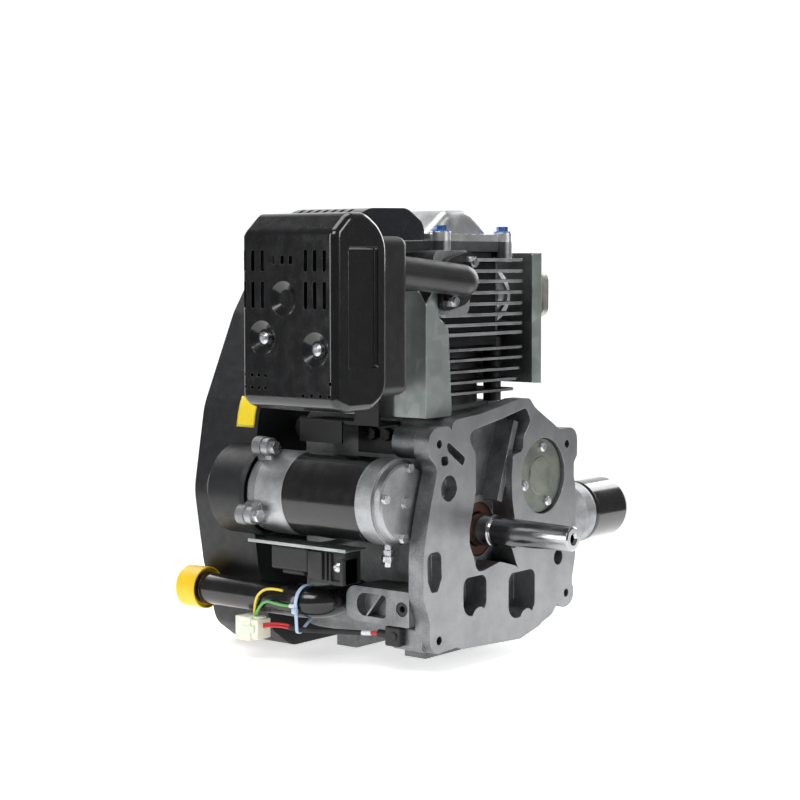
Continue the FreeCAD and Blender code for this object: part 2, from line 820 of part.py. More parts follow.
def bearing(start):
    """Outer and inner races with their balls, a hair's breadth apart."""
    outer = get("bearing_radius")
    inner = get("journal_radius")
    width = get("bearing_width")
    middle = (number(outer) + number(inner)) / 2
    groove = document.addObject("Part::Torus", "groove")
    groove.Radius1 = middle
    groove.Radius2 = 5.2
    place(groove, (0, start + width / 2, 0), TURN["y"])
    races = [
        turned("y", (0, start, 0), [(0, outer - 6), (0, outer), (width, outer), (width, outer - 6)]),
        turned("y", (0, start, 0), [(0, inner), (0, inner + 6), (width, inner + 6), (width, inner)]),
    ]
    balls = []
    for index in range(9):
        ball = document.addObject("Part::Sphere", "ball")
        ball.Radius = 5.1
        turn = math.radians(40 * index)
        balls.append(place(ball, (middle * math.cos(turn), start + width / 2,
                                  middle * math.sin(turn))))
    return [cut(races[0], groove), cut(races[1], groove)] + balls


def seal():
    radius = get("seal_radius")
    lip = get("shaft_land_radius") + get("running_gap")
    sub_part("pto_oil_seal", turned("y", (0, 0, 0), [
        (seal_front, lip + 1.5), (seal_front, radius - 1), (seal_front + 1, radius),
        (bearing_front, radius), (bearing_front, lip), (seal_front + 4, lip),
    ]))


def piston_group():
    bore = get("bore") / 2
    axis_y = get("cylinder_y")
    pin_z = get("stroke") / 2 + get("rod_length")
    crown = get("deck_z") - 0.7
    grooves = [number(crown) - drop for drop in (7, 12.5, 18)]
    outer = bore - get("running_gap")
    body = cut(
        turned("z", (0, axis_y, 0), [
            (pin_z - 30, 0), (pin_z - 30, outer), (crown - 1, outer), (crown, outer - 1), (crown, 0),
        ]),
        rod("z", (0, axis_y, pin_z - 31), 40, 47),
    )
    bosses = [
        box((-14, axis_y - 41, pin_z - 16), (14, axis_y - 15, pin_z + 16)),
        box((-14, axis_y + 15, pin_z - 16), (14, axis_y + 41, pin_z + 16)),
    ]
    slots = [
        turned("z", (0, axis_y, 0), [(low, 41), (low, 46), (low + 2, 46), (low + 2, 41)])
        for low in grooves
    ]
    pin = rod("y", (0, axis_y - 46, pin_z), 10, 92)
    sub_part("piston", cut(fuse(body, *bosses), pin, *slots))
    sub_part("piston_pin", rod("y", (0, axis_y - 38, pin_z), 10 - get("running_gap"), 76))
    rings = [
        turned("z", (0, axis_y, 0), [
            (low + 0.05, 41.3), (low + 0.05, bore - 0.02), (low + 1.95, bore - 0.02), (low + 1.95, 41.3),
        ])
        for low in grooves
    ]
    sub_part("piston_rings", group(rings))


def connecting_rod():
    """The rod is parted just above its big end, which turns with the crank."""
    axis_y = get("cylinder_y")
    throw = get("stroke") / 2
    pin_z = throw + get("rod_length")
    eye = rod("y", (0, axis_y - 12, pin_z), 15, 24)
    shank = plate("y", [(-9, 0, 2), (9, 0, 2), (7, number(pin_z - throw) - 34, 2),
                        (-7, number(pin_z - throw) - 34, 2)], axis_y - 9, 18)
    place(shank, (0, axis_y - 9, throw + 26))
    relief = [
        box((-4, axis_y - 10, throw + 32), (4, axis_y - 4, pin_z - 17)),
        box((-4, axis_y + 4, throw + 32), (4, axis_y + 10, pin_z - 17)),
    ]
    bore = rod("y", (0, axis_y - 20, pin_z), 10, 40)
    sub_part("connecting_rod", cut(fuse(eye, shank), bore, *relief))
    ring = fuse(
        rod("y", (0, axis_y - 11.5, throw), 23.5, 23),
        box((-23, axis_y - 9, throw - 8), (23, axis_y + 9, throw + 6)),
    )
    sub_part("rod_big_end", cut(
        ring,
        rod("y", (0, axis_y - 20, throw), get("pin_radius") + get("running_gap"), 40),
    ))


RING_TEETH = 96
RING_MODULE = 2.5


def flywheel_group():
    wheel = turned("y", (0, 0, 0), [
        (216, 14.1), (216, 30), (226, 34), (230, 100), (230, 111), (262, 111), (262, 100),
        (240, 96), (238, 40), (238, 13),
    ])
    bolt_holes = [
        around("y", (0, 0, 0), rod("y", (66, 215, 0), 11, 40), turn) for turn in range(30, 390, 60)
    ]
    ring_gear = gear((0, 0), RING_TEETH, RING_MODULE, 108, 232, 12, 0)
    sub_part("flywheel", fuse(cut(wheel, *bolt_holes), ring_gear))
    blades = [
        around("y", (0, 0, 0), around("y", (80, 270, 0), box((60, 265, -1.2), (103, 277, 1.2)), 25),
               turn)
        for turn in range(0, 360, 24)
    ]
    disc = turned("y", (0, 0, 0), [(262.1, 34), (262.1, 106), (265.5, 106), (265.5, 34)])
    sub_part("cooling_fan", fuse(disc, *blades))


# ---- exhaust ---------------------------------------------------------------

PORT = (get("exhaust_x"), get("pipe_y"), get("exhaust_z"))
PIPE_BEND = 17
PIPE_END = (-172, get("pipe_y") + 11.5, 256)


def diamond(center, reach, end_radius, width, middle_radius, angle):
    """A two-bolt flange outline, long along the given angle."""
    turn = math.radians(angle)
    corners = [(reach, 0, end_radius), (0, width, middle_radius), (-reach, 0, end_radius),
               (0, -width, middle_radius)]
    return [
        (number(center[0]) + a * math.cos(turn) - b * math.sin(turn),
         number(center[1]) + a * math.sin(turn) + b * math.cos(turn), radius)
        for a, b, radius in corners
    ]


def exhaust():
    angle = math.degrees(math.atan2(37, 31))
    flange = plate("y", diamond((PORT[0], PORT[2]), 39, 9, 31, 21, angle), 12, 8)
    holes = [rod("y", (x, 6, z), 4, 20) for x, z in EXHAUST_STUDS]
    pipe = fuse(tube([(PORT[0], 19.9, PORT[2]), PORT, PIPE_END], get("pipe_radius"), PIPE_BEND), flange)
    past_end = (PIPE_END[0] - 2, PIPE_END[1] + 0.19, PIPE_END[2] + 0.19)
    way = tube([(PORT[0], 21, PORT[2]), PORT, past_end], get("pipe_radius") - 2, PIPE_BEND)
    sub_part("exhaust_elbow", cut(pipe, way, *holes))
    return [
        fuse(hexagon("y", (x, 4.6, z), 10.5, 7.3), rod("y", (x, 2, z), 3.95, 38))
        for x, z in EXHAUST_STUDS
    ]


GUARD_SCREWS = [(70, 196), (8, 187)]
GUARD_DISH = (44.6, 231)
SLOT_ROWS = (-3, 8, 18.5, 69, 80.5, 91)
GUARD_DOTS = [(y, 163) for y in (66, 74, 82, 90)] + [(y, 152) for y in (66, 74, 82, 90)]
GUARD_DOTS += [(y, 147) for y in (-8, 2, 12, 22)] + [(-9, 158)]


def flat_in_y(edge):
    """Picks the rims that lie in a plane across Y."""
    return edge.BoundBox.YLength < 0.01


def muffler():
    left = get("muffler_left")
    right = get("muffler_right")
    front = get("muffler_front")
    back = get("muffler_back")
    low = get("muffler_low")
    high = get("muffler_high")
    sheet = get("sheet")
    shell_low = (left + 11, front + 6, low + 7)
    shell_high = (right, back - 6, high)
    shell = cut(
        rounded_box(shell_low, shell_high, 9),
        rounded_box([v + sheet for v in shell_low], [v - sheet for v in shell_high], 7.5),
    )
    inlet = rod("x", (-180, PIPE_END[1] - 0.8, PIPE_END[2] - 0.8), get("pipe_radius") + 1.2, 40)
    outlet = rod("y", (-226, back - 9, 176), 13, 27)
    outlet_bore = rod("y", (-226, back - 12, 176), 11, 40)
    screw_holes = [rod("x", (left - 4, y, z), 2.5, 20) for y, z in GUARD_SCREWS]
    sub_part("muffler_body", cut(fuse(shell, outlet), inlet, outlet_bore, *screw_holes))

    edge = get("guard_edge")
    top = get("guard_high")
    outline = [(left, low + 2, 12), (left, 289, 10), (-246, top, 14), (-222, top, 24),
               (edge, 289, 34), (edge, low + 8, 26), (-216, 132, 14), (-248, 132, 10)]
    outline = [tuple(number(value) for value in point) for point in outline]
    solid = rounded(plate("y", outline, front, back - front), 7, flat_in_y)
    hollow = rounded(plate("y", inset(outline, sheet.value), front + sheet,
                           back - front - 2 * sheet), 5.5, flat_in_y)
    panel = rounded_box((-249, front - 5, 170), (-208, front + 3, 276), 2.8)
    panel_skin = rounded_box((-250.5, front + 0.5, 168.5), (-206.5, front + 4.5, 277.5), 1.6)
    skins = [
        turned("x", (left, y, z), [(0.5, 0), (0.5, 17), (1.5, 17), (6, 9.5), (6, 0)])
        for y, z in GUARD_SCREWS + [GUARD_DISH]
    ]
    dishes = [
        turned("x", (left, y, z), [(-1, 0), (-1, 16.4), (0, 15.4), (4.5, 8), (4.5, 0)])
        for y, z in GUARD_SCREWS + [GUARD_DISH]
    ]
    slots = [slot(y, 264, 19) for y in SLOT_ROWS]
    slots += [slot(y, 234, 24) for y in SLOT_ROWS]
    slots += [slot(y, 264.7, 8) for y in (36, 45.5, 55)]
    slots += [rod("x", (left - 1, y, z), 1.6, 12) for y, z in GUARD_DOTS]
    slots += [rod("x", (left - 1, y, z), 2.5, 12) for y, z in GUARD_SCREWS]
    slots.append(rod("y", (-226, back - 8, 176), 16, 20))
    slots.append(box((-206, front + sheet, low - 10), (edge + 5, back - sheet, top + 5)))
    sub_part("muffler_guard", cut(fuse(cut(solid, hollow), panel_skin, *skins), panel, *dishes, *slots))
    return [
        fuse(
            turned("x", (left + 4.5, y, z), [(-3.6, 0), (-3.6, 3), (-2, 5.5), (0, 5.5), (0, 0)]),
            rod("x", (left + 4.5, y, z), 2.45, 9),
        )
        for y, z in GUARD_SCREWS
    ]


def slot(y, z, height):
    """A vertical slot with round ends through the side of the guard."""
    half = height / 2
    return plate("x", [(y - 2, z - half, 1.9), (y + 2, z - half, 1.9), (y + 2, z + half, 1.9),
                       (y - 2, z + half, 1.9)], get("muffler_left") - 1, 6)


def muffler_supports():
    """A black bracket from the crankcase side to the flat floor of the muffler."""
    bracket = fuse(
        box((-82, 62, 78), (-79, 112, 110)),
        box((-112, 62, 107), (-79, 160, 110)),
        box((-114, 106, 88), (-112, 160, 110)),
        box((-112, 62, 107), (-109, 92, get("muffler_low") + 7)),
        box((-204, 52, get("muffler_low") + 4), (-109, 92, get("muffler_low") + 7)),
    )
    holes = [rod("x", (-90, y, 97), 4, 20) for y in BRACKET_SCREWS]
    sub_part("muffler_bracket", cut(bracket, *holes))
    return screws("x", [(-82, y, 97) for y in BRACKET_SCREWS], 11, 6, 3.95, 11)


# ---- cooling sheet metal ---------------------------------------------------

def top_hood():
    sheet = get("sheet")
    front = get("hood_front")
    section = [(-187, 286, 1), (-187, 298, 8), (-152, 312.5, 40), (-96, 313.5, 24), (-70, 299, 14),
               (-70, 283.5, 2)]
    inner = [(-185.5, 280, 1), (-185.5, 297, 7), (-151.6, 311, 39), (-96.4, 312, 23),
             (-71.5, 298, 13), (-71.5, 280, 1)]
    front_length = 88
    hollow = plate("y", inner, front + sheet, front_length)
    louvres = [
        box((-181, y, 290), (-153, y + 4, 325))
        for y in range(56, 120, 10)
    ]
    back = front + front_length
    sub_part("top_hood", fuse(
        cut(plate("y", section, front, front_length), hollow, *louvres),
        plate("y", section, back - sheet, sheet),
        box((-108, back - 1, 296.5), (-76, 206, 298)),
        box((-108, 190, 296.5), (-70, 206, 298)),
        box((-74, 190, 296.5), (-20, 236, 298)),
        box((-21.5, 214, 266.3), (-20, 236, 298)),
        box((-21.5, 214, 266.3), (4, 236, 267.8)),
    ))


def air_ducts():
    sheet = get("sheet")
    front = get("duct_front")
    left = get("duct_left")
    face = [(number(left), 116, 1), (number(left), 222, 2), (-85, 236, 2), (-79.5, 236, 1),
            (-79, 212, 2), (-62, 200, 6), (-57, 126, 5), (-57, 116, 2)]
    back = get("housing_front") - 2.7
    sub_part("left_air_duct", fuse(
        plate("y", face, front, sheet),
        plate("x", [(front, 116, 1), (back, 116, 1), (back, 166, 6), (96, 232, 20), (26, 236, 4),
                    (front, 222, 1)], left, sheet),
    ))
    right = get("duct_right")
    wall = plate("x", [(front, 140, 1), (back, 140, 1), (back, 272, 1), (front, 272, 1)],
                 right - sheet, sheet)
    strip = plate("y", [(79, 141, 2), (95, 140, 0.5), (95, 272, 0.5), (79, 271, 2)], front, sheet)
    port = rod("x", (80, get("intake_y"), get("intake_z")), 30, 30)
    plug_way = rod("x", (80, PLUG_Y, PLUG_Z), 14, 30)
    lead_way = rod("x", (80, LEAD_Y, PLUG_Z), 6, 30)
    sub_part("right_air_duct", cut(fuse(wall, strip), port, plug_way, lead_way))


HOUSING = [
    (-107, -105, 25), (-76, -127, 25), (127, -127, 126), (130, 128, 40), (106, 266, 26),
    (-40, 266, 26), (-78, 211, 40), (-122, 118, 60), (-137, 34, 60), (-125, -40, 60),
]
LEAD_Y = 188


def blower():
    wall = get("housing_wall")
    front = get("housing_front")
    back = get("housing_back")
    inner = inset(HOUSING, number(wall))
    bulge_at = (get("starter_x"), 0, get("starter_z"))
    bulge = turned("y", bulge_at, [(186, 0), (186, 43), (191, 45), (232, 45), (262, 16), (262, 0)])
    way_in = turned("y", bulge_at, [
        (185, 0), (185, 41.5), (189, 41.5), (191.5, 42.5), (231, 42.5), (259.5, 15), (259.5, 0),
    ])
    shell = cut(
        fuse(plate("y", HOUSING, front, back - front), bulge),
        plate("y", inner, front - 1, back - front + 1 - wall),
        way_in,
        rod("y", (0, back - 10, 0), 98, 20),
    )
    sub_part("blower_housing", shell)

    plate_front = front - 2.5
    window = [(-92, 128, 4), (92, 124, 8), (92, 258, 12), (-40, 258, 12), (-73, 206, 8), (-92, 168, 6)]
    backplate = cut(
        plate("y", HOUSING, plate_front, 2.5),
        rod("y", (0, plate_front - 5, 0), 38, 10),
        rod("y", (bulge_at[0], plate_front - 5, bulge_at[2]), 45.4, 10),
        plate("y", window, plate_front - 5, 10),
        *[rod("y", (x, plate_front - 5, z), 3, 10) for x, z in BACKPLATE_BOLTS],
    )
    sub_part("blower_backplate", backplate)
    rings = [
        turned("y", (0, back, 0), [(0, r), (0, r + 3), (3, r + 3), (3, r)]) for r in range(24, 104, 9)
    ]
    spokes = [
        around("y", (0, 0, 0), box((10, back, -2), (100, back + 3, 2)), turn)
        for turn in range(0, 360, 45)
    ]
    hub = rod("y", (0, back, 0), 14, 3)
    rim = turned("y", (0, back, 0), [(0, 96), (0, 106), (4, 106), (4, 96)])
    sub_part("fan_screen", fuse(hub, rim, *rings, *spokes))
    return [
        fuse(hexagon("y", (x, front, z), 10, 4.5), rod("y", (x, front - 16, z), 2.95, 17))
        for x, z in BACKPLATE_BOLTS
    ]


# ---- starter ---------------------------------------------------------------

THROUGH_REACH = 33
BOLT_TURNS = (168, 84, -100)
THROUGH_BOLTS = [
    (DIMENSIONS["starter_x"] + THROUGH_REACH * math.cos(math.radians(turn)),
     DIMENSIONS["starter_z"] + THROUGH_REACH * math.sin(math.radians(turn)))
    for turn in BOLT_TURNS
]


def starter():
    x = get("starter_x")
    z = get("starter_z")
    radius = get("starter_radius")
    front = get("starter_front")
    cap_back = get("starter_tube_front")
    tube_back = get("starter_tube_back")
    shaft = 6
    cap = cut(
        turned("y", (x, 0, z), [
            (front - 3, 0), (front - 3, 5), (front, 6), (front, radius - 6), (front + 2, radius - 4),
            (front + 9, radius - 3), (front + 9, radius), (cap_back, radius),
            (cap_back, radius - 4), (front + 5, radius - 4), (front + 5, 0),
        ]),
        rod("y", (x, front + 1, z), shaft + get("running_gap"), 20),
        rod("z", (x - 6, 36, z - 50), 4, 30),
        *[rod("y", (bx, front - 6, bz), 3, 50) for bx, bz in THROUGH_BOLTS],
    )
    sub_part("starter_end_cap", cap)
    sub_part("starter_tube", turned("y", (x, 0, z), [
        (cap_back, radius - 4.2), (cap_back, radius - 0.4), (tube_back, radius - 0.4),
        (tube_back, radius - 4.2),
    ]))
    ears = [
        fuse(rod("y", (ex, 166, ez), 9, 8),
             plate("y", [(ex - 2, ez - 8, 3), (ex + 2, ez + 8, 3), (-120, 66, 3), (-126, 12, 3)], 166, 8))
        for ex, ez in STARTER_EARS
    ]
    housing = fuse(
        turned("y", (x, 0, z), [
            (tube_back, radius - 6), (tube_back, radius), (174, radius), (174, 33.95),
            (205, 33.95), (213, 22), (213, shaft + 0.3), (208, shaft + 0.3), (208, 18), (202, 29),
            (174, 29), (168, radius - 6),
        ]),
        *ears,
    )
    cavity = fuse(rod("y", (x, tube_back - 1, z), radius - 6, 30), rod("y", (x, 160, z), 28.9, 16))
    holes = [rod("y", (ex, 160, ez), 3, 20) for ex, ez in STARTER_EARS]
    bolt_ends = [rod("y", (bx, tube_back - 1, bz), 3, 9) for bx, bz in THROUGH_BOLTS]
    sub_part("starter_drive_housing", cut(housing, cavity, *holes, *bolt_ends))
    through = [
        fuse(hexagon("y", (bx, front - 4.5, bz), 8, 4.5), rod("y", (bx, front - 0.5, bz), 2.4, 126))
        for bx, bz in THROUGH_BOLTS
    ]
    ear_bolts = screws("y", [(ex, 166, ez) for ex, ez in STARTER_EARS], 11, 6.5, 2.95, 24)
    terminal = fuse(
        rod("z", (x - 6, 36, -22), 3.95, 24.5),
        hexagon("z", (x - 6, 36, -17), 13, 5),
        hexagon("z", (x - 6, 36, -10), 11, 4),
    )
    sub_part("starter_fasteners", group(through + ear_bolts + [terminal]))
    armature = fuse(
        rod("y", (x, front + 2, z), shaft, 205),
        rod("y", (x, 58, z), 26, 78),
        rod("y", (x, 34, z), 14, 24),
    )
    sub_part("starter_armature", armature)
    pinion = gear((x, z), 9, RING_MODULE, shaft, 216, 13, 0)
    sub_part("starter_pinion", pinion)


def relay():
    sheet = get("sheet")
    bracket = fuse(
        box((-157, 66, -9), (-126, 190, -9 + sheet)),
        box((-157, 66, -9), (-157 + sheet, 190, -6)),
        box((-130, 104, -9), (-79, 124, -9 + sheet)),
    )
    sub_part("relay_bracket", bracket)
    block = rounded_box((-155, 114.6, -33), (-128, 162, -9.2), 3)
    cap = rounded_box((-152, 122, -37), (-131, 150, -32), 2)
    sub_part("starter_relay", fuse(block, cap))
    body = rounded_box((-153, 70, -42), (-129, 114, -9.2), 2)
    ribs = [box((-156, y, -38), (-152, y + 3, -13)) for y in range(76, 112, 8)]
    sub_part("voltage_regulator", fuse(body, *ribs))


# ---- oil system ------------------------------------------------------------

def oil_parts():
    y = get("filter_y")
    z = get("filter_z")
    radius = get("filter_radius")
    face = get("filter_face")
    end = get("filter_end")
    adapter = turned("x", (0, y, z), [
        (136, 7), (136, 22), (146, 24), (160, 33), (face - 5, 33.5), (face - 1.5, 32.5),
        (face - 1, 29), (face - 1, 7),
    ])
    sub_part("oil_filter_adapter", adapter)
    sub_part("oil_filter", turned("x", (0, y, z), [
        (face - 0.8, 8), (face - 0.8, 28), (face, radius - 0.8), (face + 4, radius),
        (face + 6, radius - 1.2), (end - 14, radius - 1.2), (end - 6, radius - 5),
        (end - 1.5, radius - 12), (end, 14), (end, 0), (face + 6, 0), (face + 6, 8),
    ]))

    fx = get("filler_x")
    fz = get("filler_z")
    back = get("filler_back")
    outer = get("filler_radius")
    pipe = tube([(-79.2, 114, fz), (fx, 114, fz), (fx, back, fz)], outer, 24)
    inner = tube([(-78, 114, fz), (fx, 114, fz), (fx, back + 1, fz)], outer - 2.5, 24)
    rim = rod("y", (fx, back - 6, fz), outer + 0.5, 6)
    sub_part("filler_tube", cut(fuse(pipe, rim), inner))
    ribs = [
        around("y", (fx, back, fz), box((fx + 20, back - 3, fz - 1.6), (fx + 22.3, back + 21, fz + 1.6)),
               turn)
        for turn in range(0, 360, 20)
    ]
    cap = turned("y", (fx, 0, fz), [
        (back - 18, 0), (back - 18, outer - 2.55), (back + 0.4, outer - 2.55), (back + 0.4, 19.8),
        (back - 4, 19.8), (back - 4, 21), (back + 21, 21), (back + 23.5, 18), (back + 23.5, 0),
    ])
    blade = rod("y", (fx, 150, fz), 2.5, back - 160)
    sub_part("dipstick_cap", fuse(cap, blade, *ribs))

    plug = cut(rod("x", (-120, 27, -63), 6.95, 11), hexagon("x", (-121, 27, -63), 6, 7))
    sub_part("drain_plug", plug)
    sensor = fuse(
        rounded_box((-121, 30, -100), (-112, 48, -81), 2),
        rod("y", (-116.5, 46, -90), 4, 12),
        rod("x", (-122.5, 37, -90), 4, 3),
    )
    sub_part("oil_sensor", sensor)


SENSOR_LEAD = [(-116.5, 58, -90), (-119, 80, -92), (-132, 104, -91), (-156, 124, -89),
               (-160, 147, -85), (-156, 170.2, -90)]


def wiring():
    sub_part("sensor_lead", tube(SENSOR_LEAD, 2.5, 12))
    sub_part("harness_connector", rounded_box((-166, 171, -106), (-143, 200, -81.5), 2))


# ---- intake and ignition ---------------------------------------------------

CARB_X = 107
THROTTLE_X = 122
CHOKE_X = 152


def intake():
    y = get("intake_y")
    z = get("intake_z")
    end = get("intake_end")
    bore = 12.5
    flange = diamond((y, z), 36, 8, 26, 18, 90)

    def studs(start, length):
        return [rod("x", (start, y, z + shift), 3, length) for shift in (-25, 25)]

    manifold = fuse(rod("x", (77, y, z), 18, 30), plate("x", flange, 77, 6),
                    plate("x", flange, 101, 6))
    sub_part("intake_manifold", cut(manifold, rod("x", (70, y, z), bore, 40), *studs(70, 40)))
    body = fuse(
        plate("x", flange, CARB_X, 6),
        rod("x", (CARB_X, y, z), 19, 58),
        rounded_box((114, y - 20, z - 30), (158, y + 20, z + 18), 5),
        rod("z", (136, y, z - 40), 23, 20),
        rod("z", (THROTTLE_X, y, z), 6, 26),
        rod("z", (CHOKE_X, y, z), 6, 26),
        plate("x", [(y - 26, z - 24, 10), (y + 26, z - 24, 10), (y + 26, z + 24, 10),
                    (y - 26, z + 24, 10)], CARB_X + 54, 5),
    )
    sub_part("carburettor_body", cut(
        body,
        rod("x", (100, y, z), bore, 80),
        rod("z", (THROTTLE_X, y, z - 22), 3.05, 60),
        rod("z", (CHOKE_X, y, z - 22), 3.05, 60),
        rod("y", (138, y + 24 - 50, z - 26), 3, 20),
        *studs(99, 16),
    ))
    sub_part("float_bowl", turned("z", (136, y, z), [
        (-72, 0), (-72, 7), (-70, 8), (-68, 12), (-66, 20), (-62, 23.5), (-40.2, 23.5),
        (-40.2, 22), (-61, 22), (-64, 19), (-65.5, 10), (-65.5, 0),
    ]))
    for label, x, turn in (("throttle_lever", THROTTLE_X, 0), ("choke_lever", CHOKE_X, 90)):
        height = 26.5 if x == THROTTLE_X else 29.5
        arm = plate("z", [(-6, -6, 5), (6, -6, 5), (4, 30, 4), (-4, 30, 4)], 0, 2)
        place(arm, (x, y, z + height))
        disc = around("z", (x, y, z), rod("x", (x - 0.75, y, z), bore - 0.4, 1.5), turn)
        sub_part(label, fuse(rod("z", (x, y, z - 18), 3, height + 21), disc, arm))
    horn = cut(
        fuse(
            plate("x", [(y - 26, z - 24, 10), (y + 26, z - 24, 10), (y + 26, z + 24, 10),
                        (y - 26, z + 24, 10)], CARB_X + 59.2, 4),
            cone("x", (CARB_X + 63, y, z), 18, 20, end - CARB_X - 63),
        ),
        cone("x", (CARB_X + 59, y, z), bore, 18, end - CARB_X - 58.5),
    )
    bridge = fuse(box((end - 5, y - 18.5, z - 2), (end - 2, y + 18.5, z + 2)),
                  rod("x", (end - 5, y, z), 3, 14))
    sub_part("air_horn", fuse(horn, bridge))


def ignition():
    plug = fuse(
        rod("x", (33, PLUG_Y, PLUG_Z), 6.95, 14),
        rod("x", (46, PLUG_Y, PLUG_Z), 10, 4),
        hexagon("x", (50, PLUG_Y, PLUG_Z), 20.6, 9),
        cone("x", (59, PLUG_Y, PLUG_Z), 7, 4.5, 26),
    )
    sub_part("spark_plug", plug)
    boot = fuse(
        rod("x", (66, PLUG_Y, PLUG_Z), 11, 46),
        rod("x", (96, PLUG_Y, PLUG_Z), 13, 10),
        rod("x", (104, PLUG_Y, PLUG_Z), 10, 18),
        rod("y", (115, PLUG_Y, PLUG_Z), 6.5, 18),
    )
    sub_part("plug_cap", cut(boot, cone("x", (59, PLUG_Y, PLUG_Z), 7.1, 4.6, 26.1)))
    coil = fuse(
        rounded_box((-26, 247, 126), (26, 270, 156), 4),
        box((-20, 252, 114), (-8, 262, 128)),
        box((8, 252, 114), (20, 262, 128)),
        rod("y", (0, 240, 146), 7, 10),
    )
    sub_part("ignition_coil", coil)
    sub_part("plug_lead", tube(
        [(26.2, 258, 142), (60, 258, 150), (62, LEAD_Y, PLUG_Z), (115, LEAD_Y, PLUG_Z),
         (115, PLUG_Y + 18.2, PLUG_Z)], 3.5, 13,
    ))


crankcase_cover()
case_bolts = cover_fasteners()
pump_cover()
cylinder_block()
liner_and_gasket()
cylinder_head()
rocker_cover()
case_bolts += head_fasteners()
crankshaft()
gears()
camshaft()
sub_part("main_bearings", group(bearing(bearing_front) + bearing(158)))
seal()
piston_group()
connecting_rod()
flywheel_group()
exhaust_nuts = exhaust()
guard_screws = muffler()
bracket_screws = muffler_supports()
sub_part("exhaust_fasteners", group(exhaust_nuts + guard_screws + bracket_screws))
top_hood()
air_ducts()
case_bolts += blower()
sub_part("case_bolts", group(case_bolts))
starter()
relay()
oil_parts()
wiring()
intake()
ignition()


def check_and_write():
    document.recompute()
    faults = [
        f"{thing.Name} ({thing.Label}): {thing.State}"
        for thing in document.Objects
        if "Invalid" in thing.State or "Error" in thing.State
    ]
    for thing in sub_parts:
        if thing.Shape.isNull() or not thing.Shape.isValid() or not thing.Shape.Solids:
            faults.append(f"{thing.Label}: no valid solid")
    if faults:
        raise RuntimeError("\n".join(faults))
    os.makedirs("parts", exist_ok=True)
    for thing in sub_parts:
        thing.Shape.exportStep(f"parts/{thing.Label}.step")
        print(thing.Label, len(thing.Shape.Solids), round(thing.Shape.Volume / 1000, 1), "cm3")


check_and_write()
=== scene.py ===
"""Looks for the small gasoline engine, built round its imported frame. Metres, +Z up, shaft along -Y."""
import math

import bmesh
import bpy
from mathutils import Matrix, Vector


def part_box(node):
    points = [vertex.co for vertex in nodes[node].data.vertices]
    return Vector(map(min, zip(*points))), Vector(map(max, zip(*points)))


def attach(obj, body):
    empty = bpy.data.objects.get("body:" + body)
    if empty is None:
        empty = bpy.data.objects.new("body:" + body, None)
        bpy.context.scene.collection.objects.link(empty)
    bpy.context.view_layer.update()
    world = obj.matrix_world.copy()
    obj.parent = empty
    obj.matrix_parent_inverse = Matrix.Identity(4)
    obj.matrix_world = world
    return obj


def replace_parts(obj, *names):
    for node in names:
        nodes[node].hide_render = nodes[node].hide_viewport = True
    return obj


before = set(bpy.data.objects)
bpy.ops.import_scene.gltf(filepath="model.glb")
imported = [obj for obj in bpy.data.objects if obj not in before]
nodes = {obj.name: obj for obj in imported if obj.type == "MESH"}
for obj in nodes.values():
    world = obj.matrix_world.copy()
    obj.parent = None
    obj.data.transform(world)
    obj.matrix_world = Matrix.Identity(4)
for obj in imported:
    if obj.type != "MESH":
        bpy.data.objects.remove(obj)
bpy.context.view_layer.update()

scene = bpy.context.scene
MM = 0.001


def mm(*values):
    """A point given in millimetres, in metres."""
    return Vector(values) * MM


# ---- materials -------------------------------------------------------------

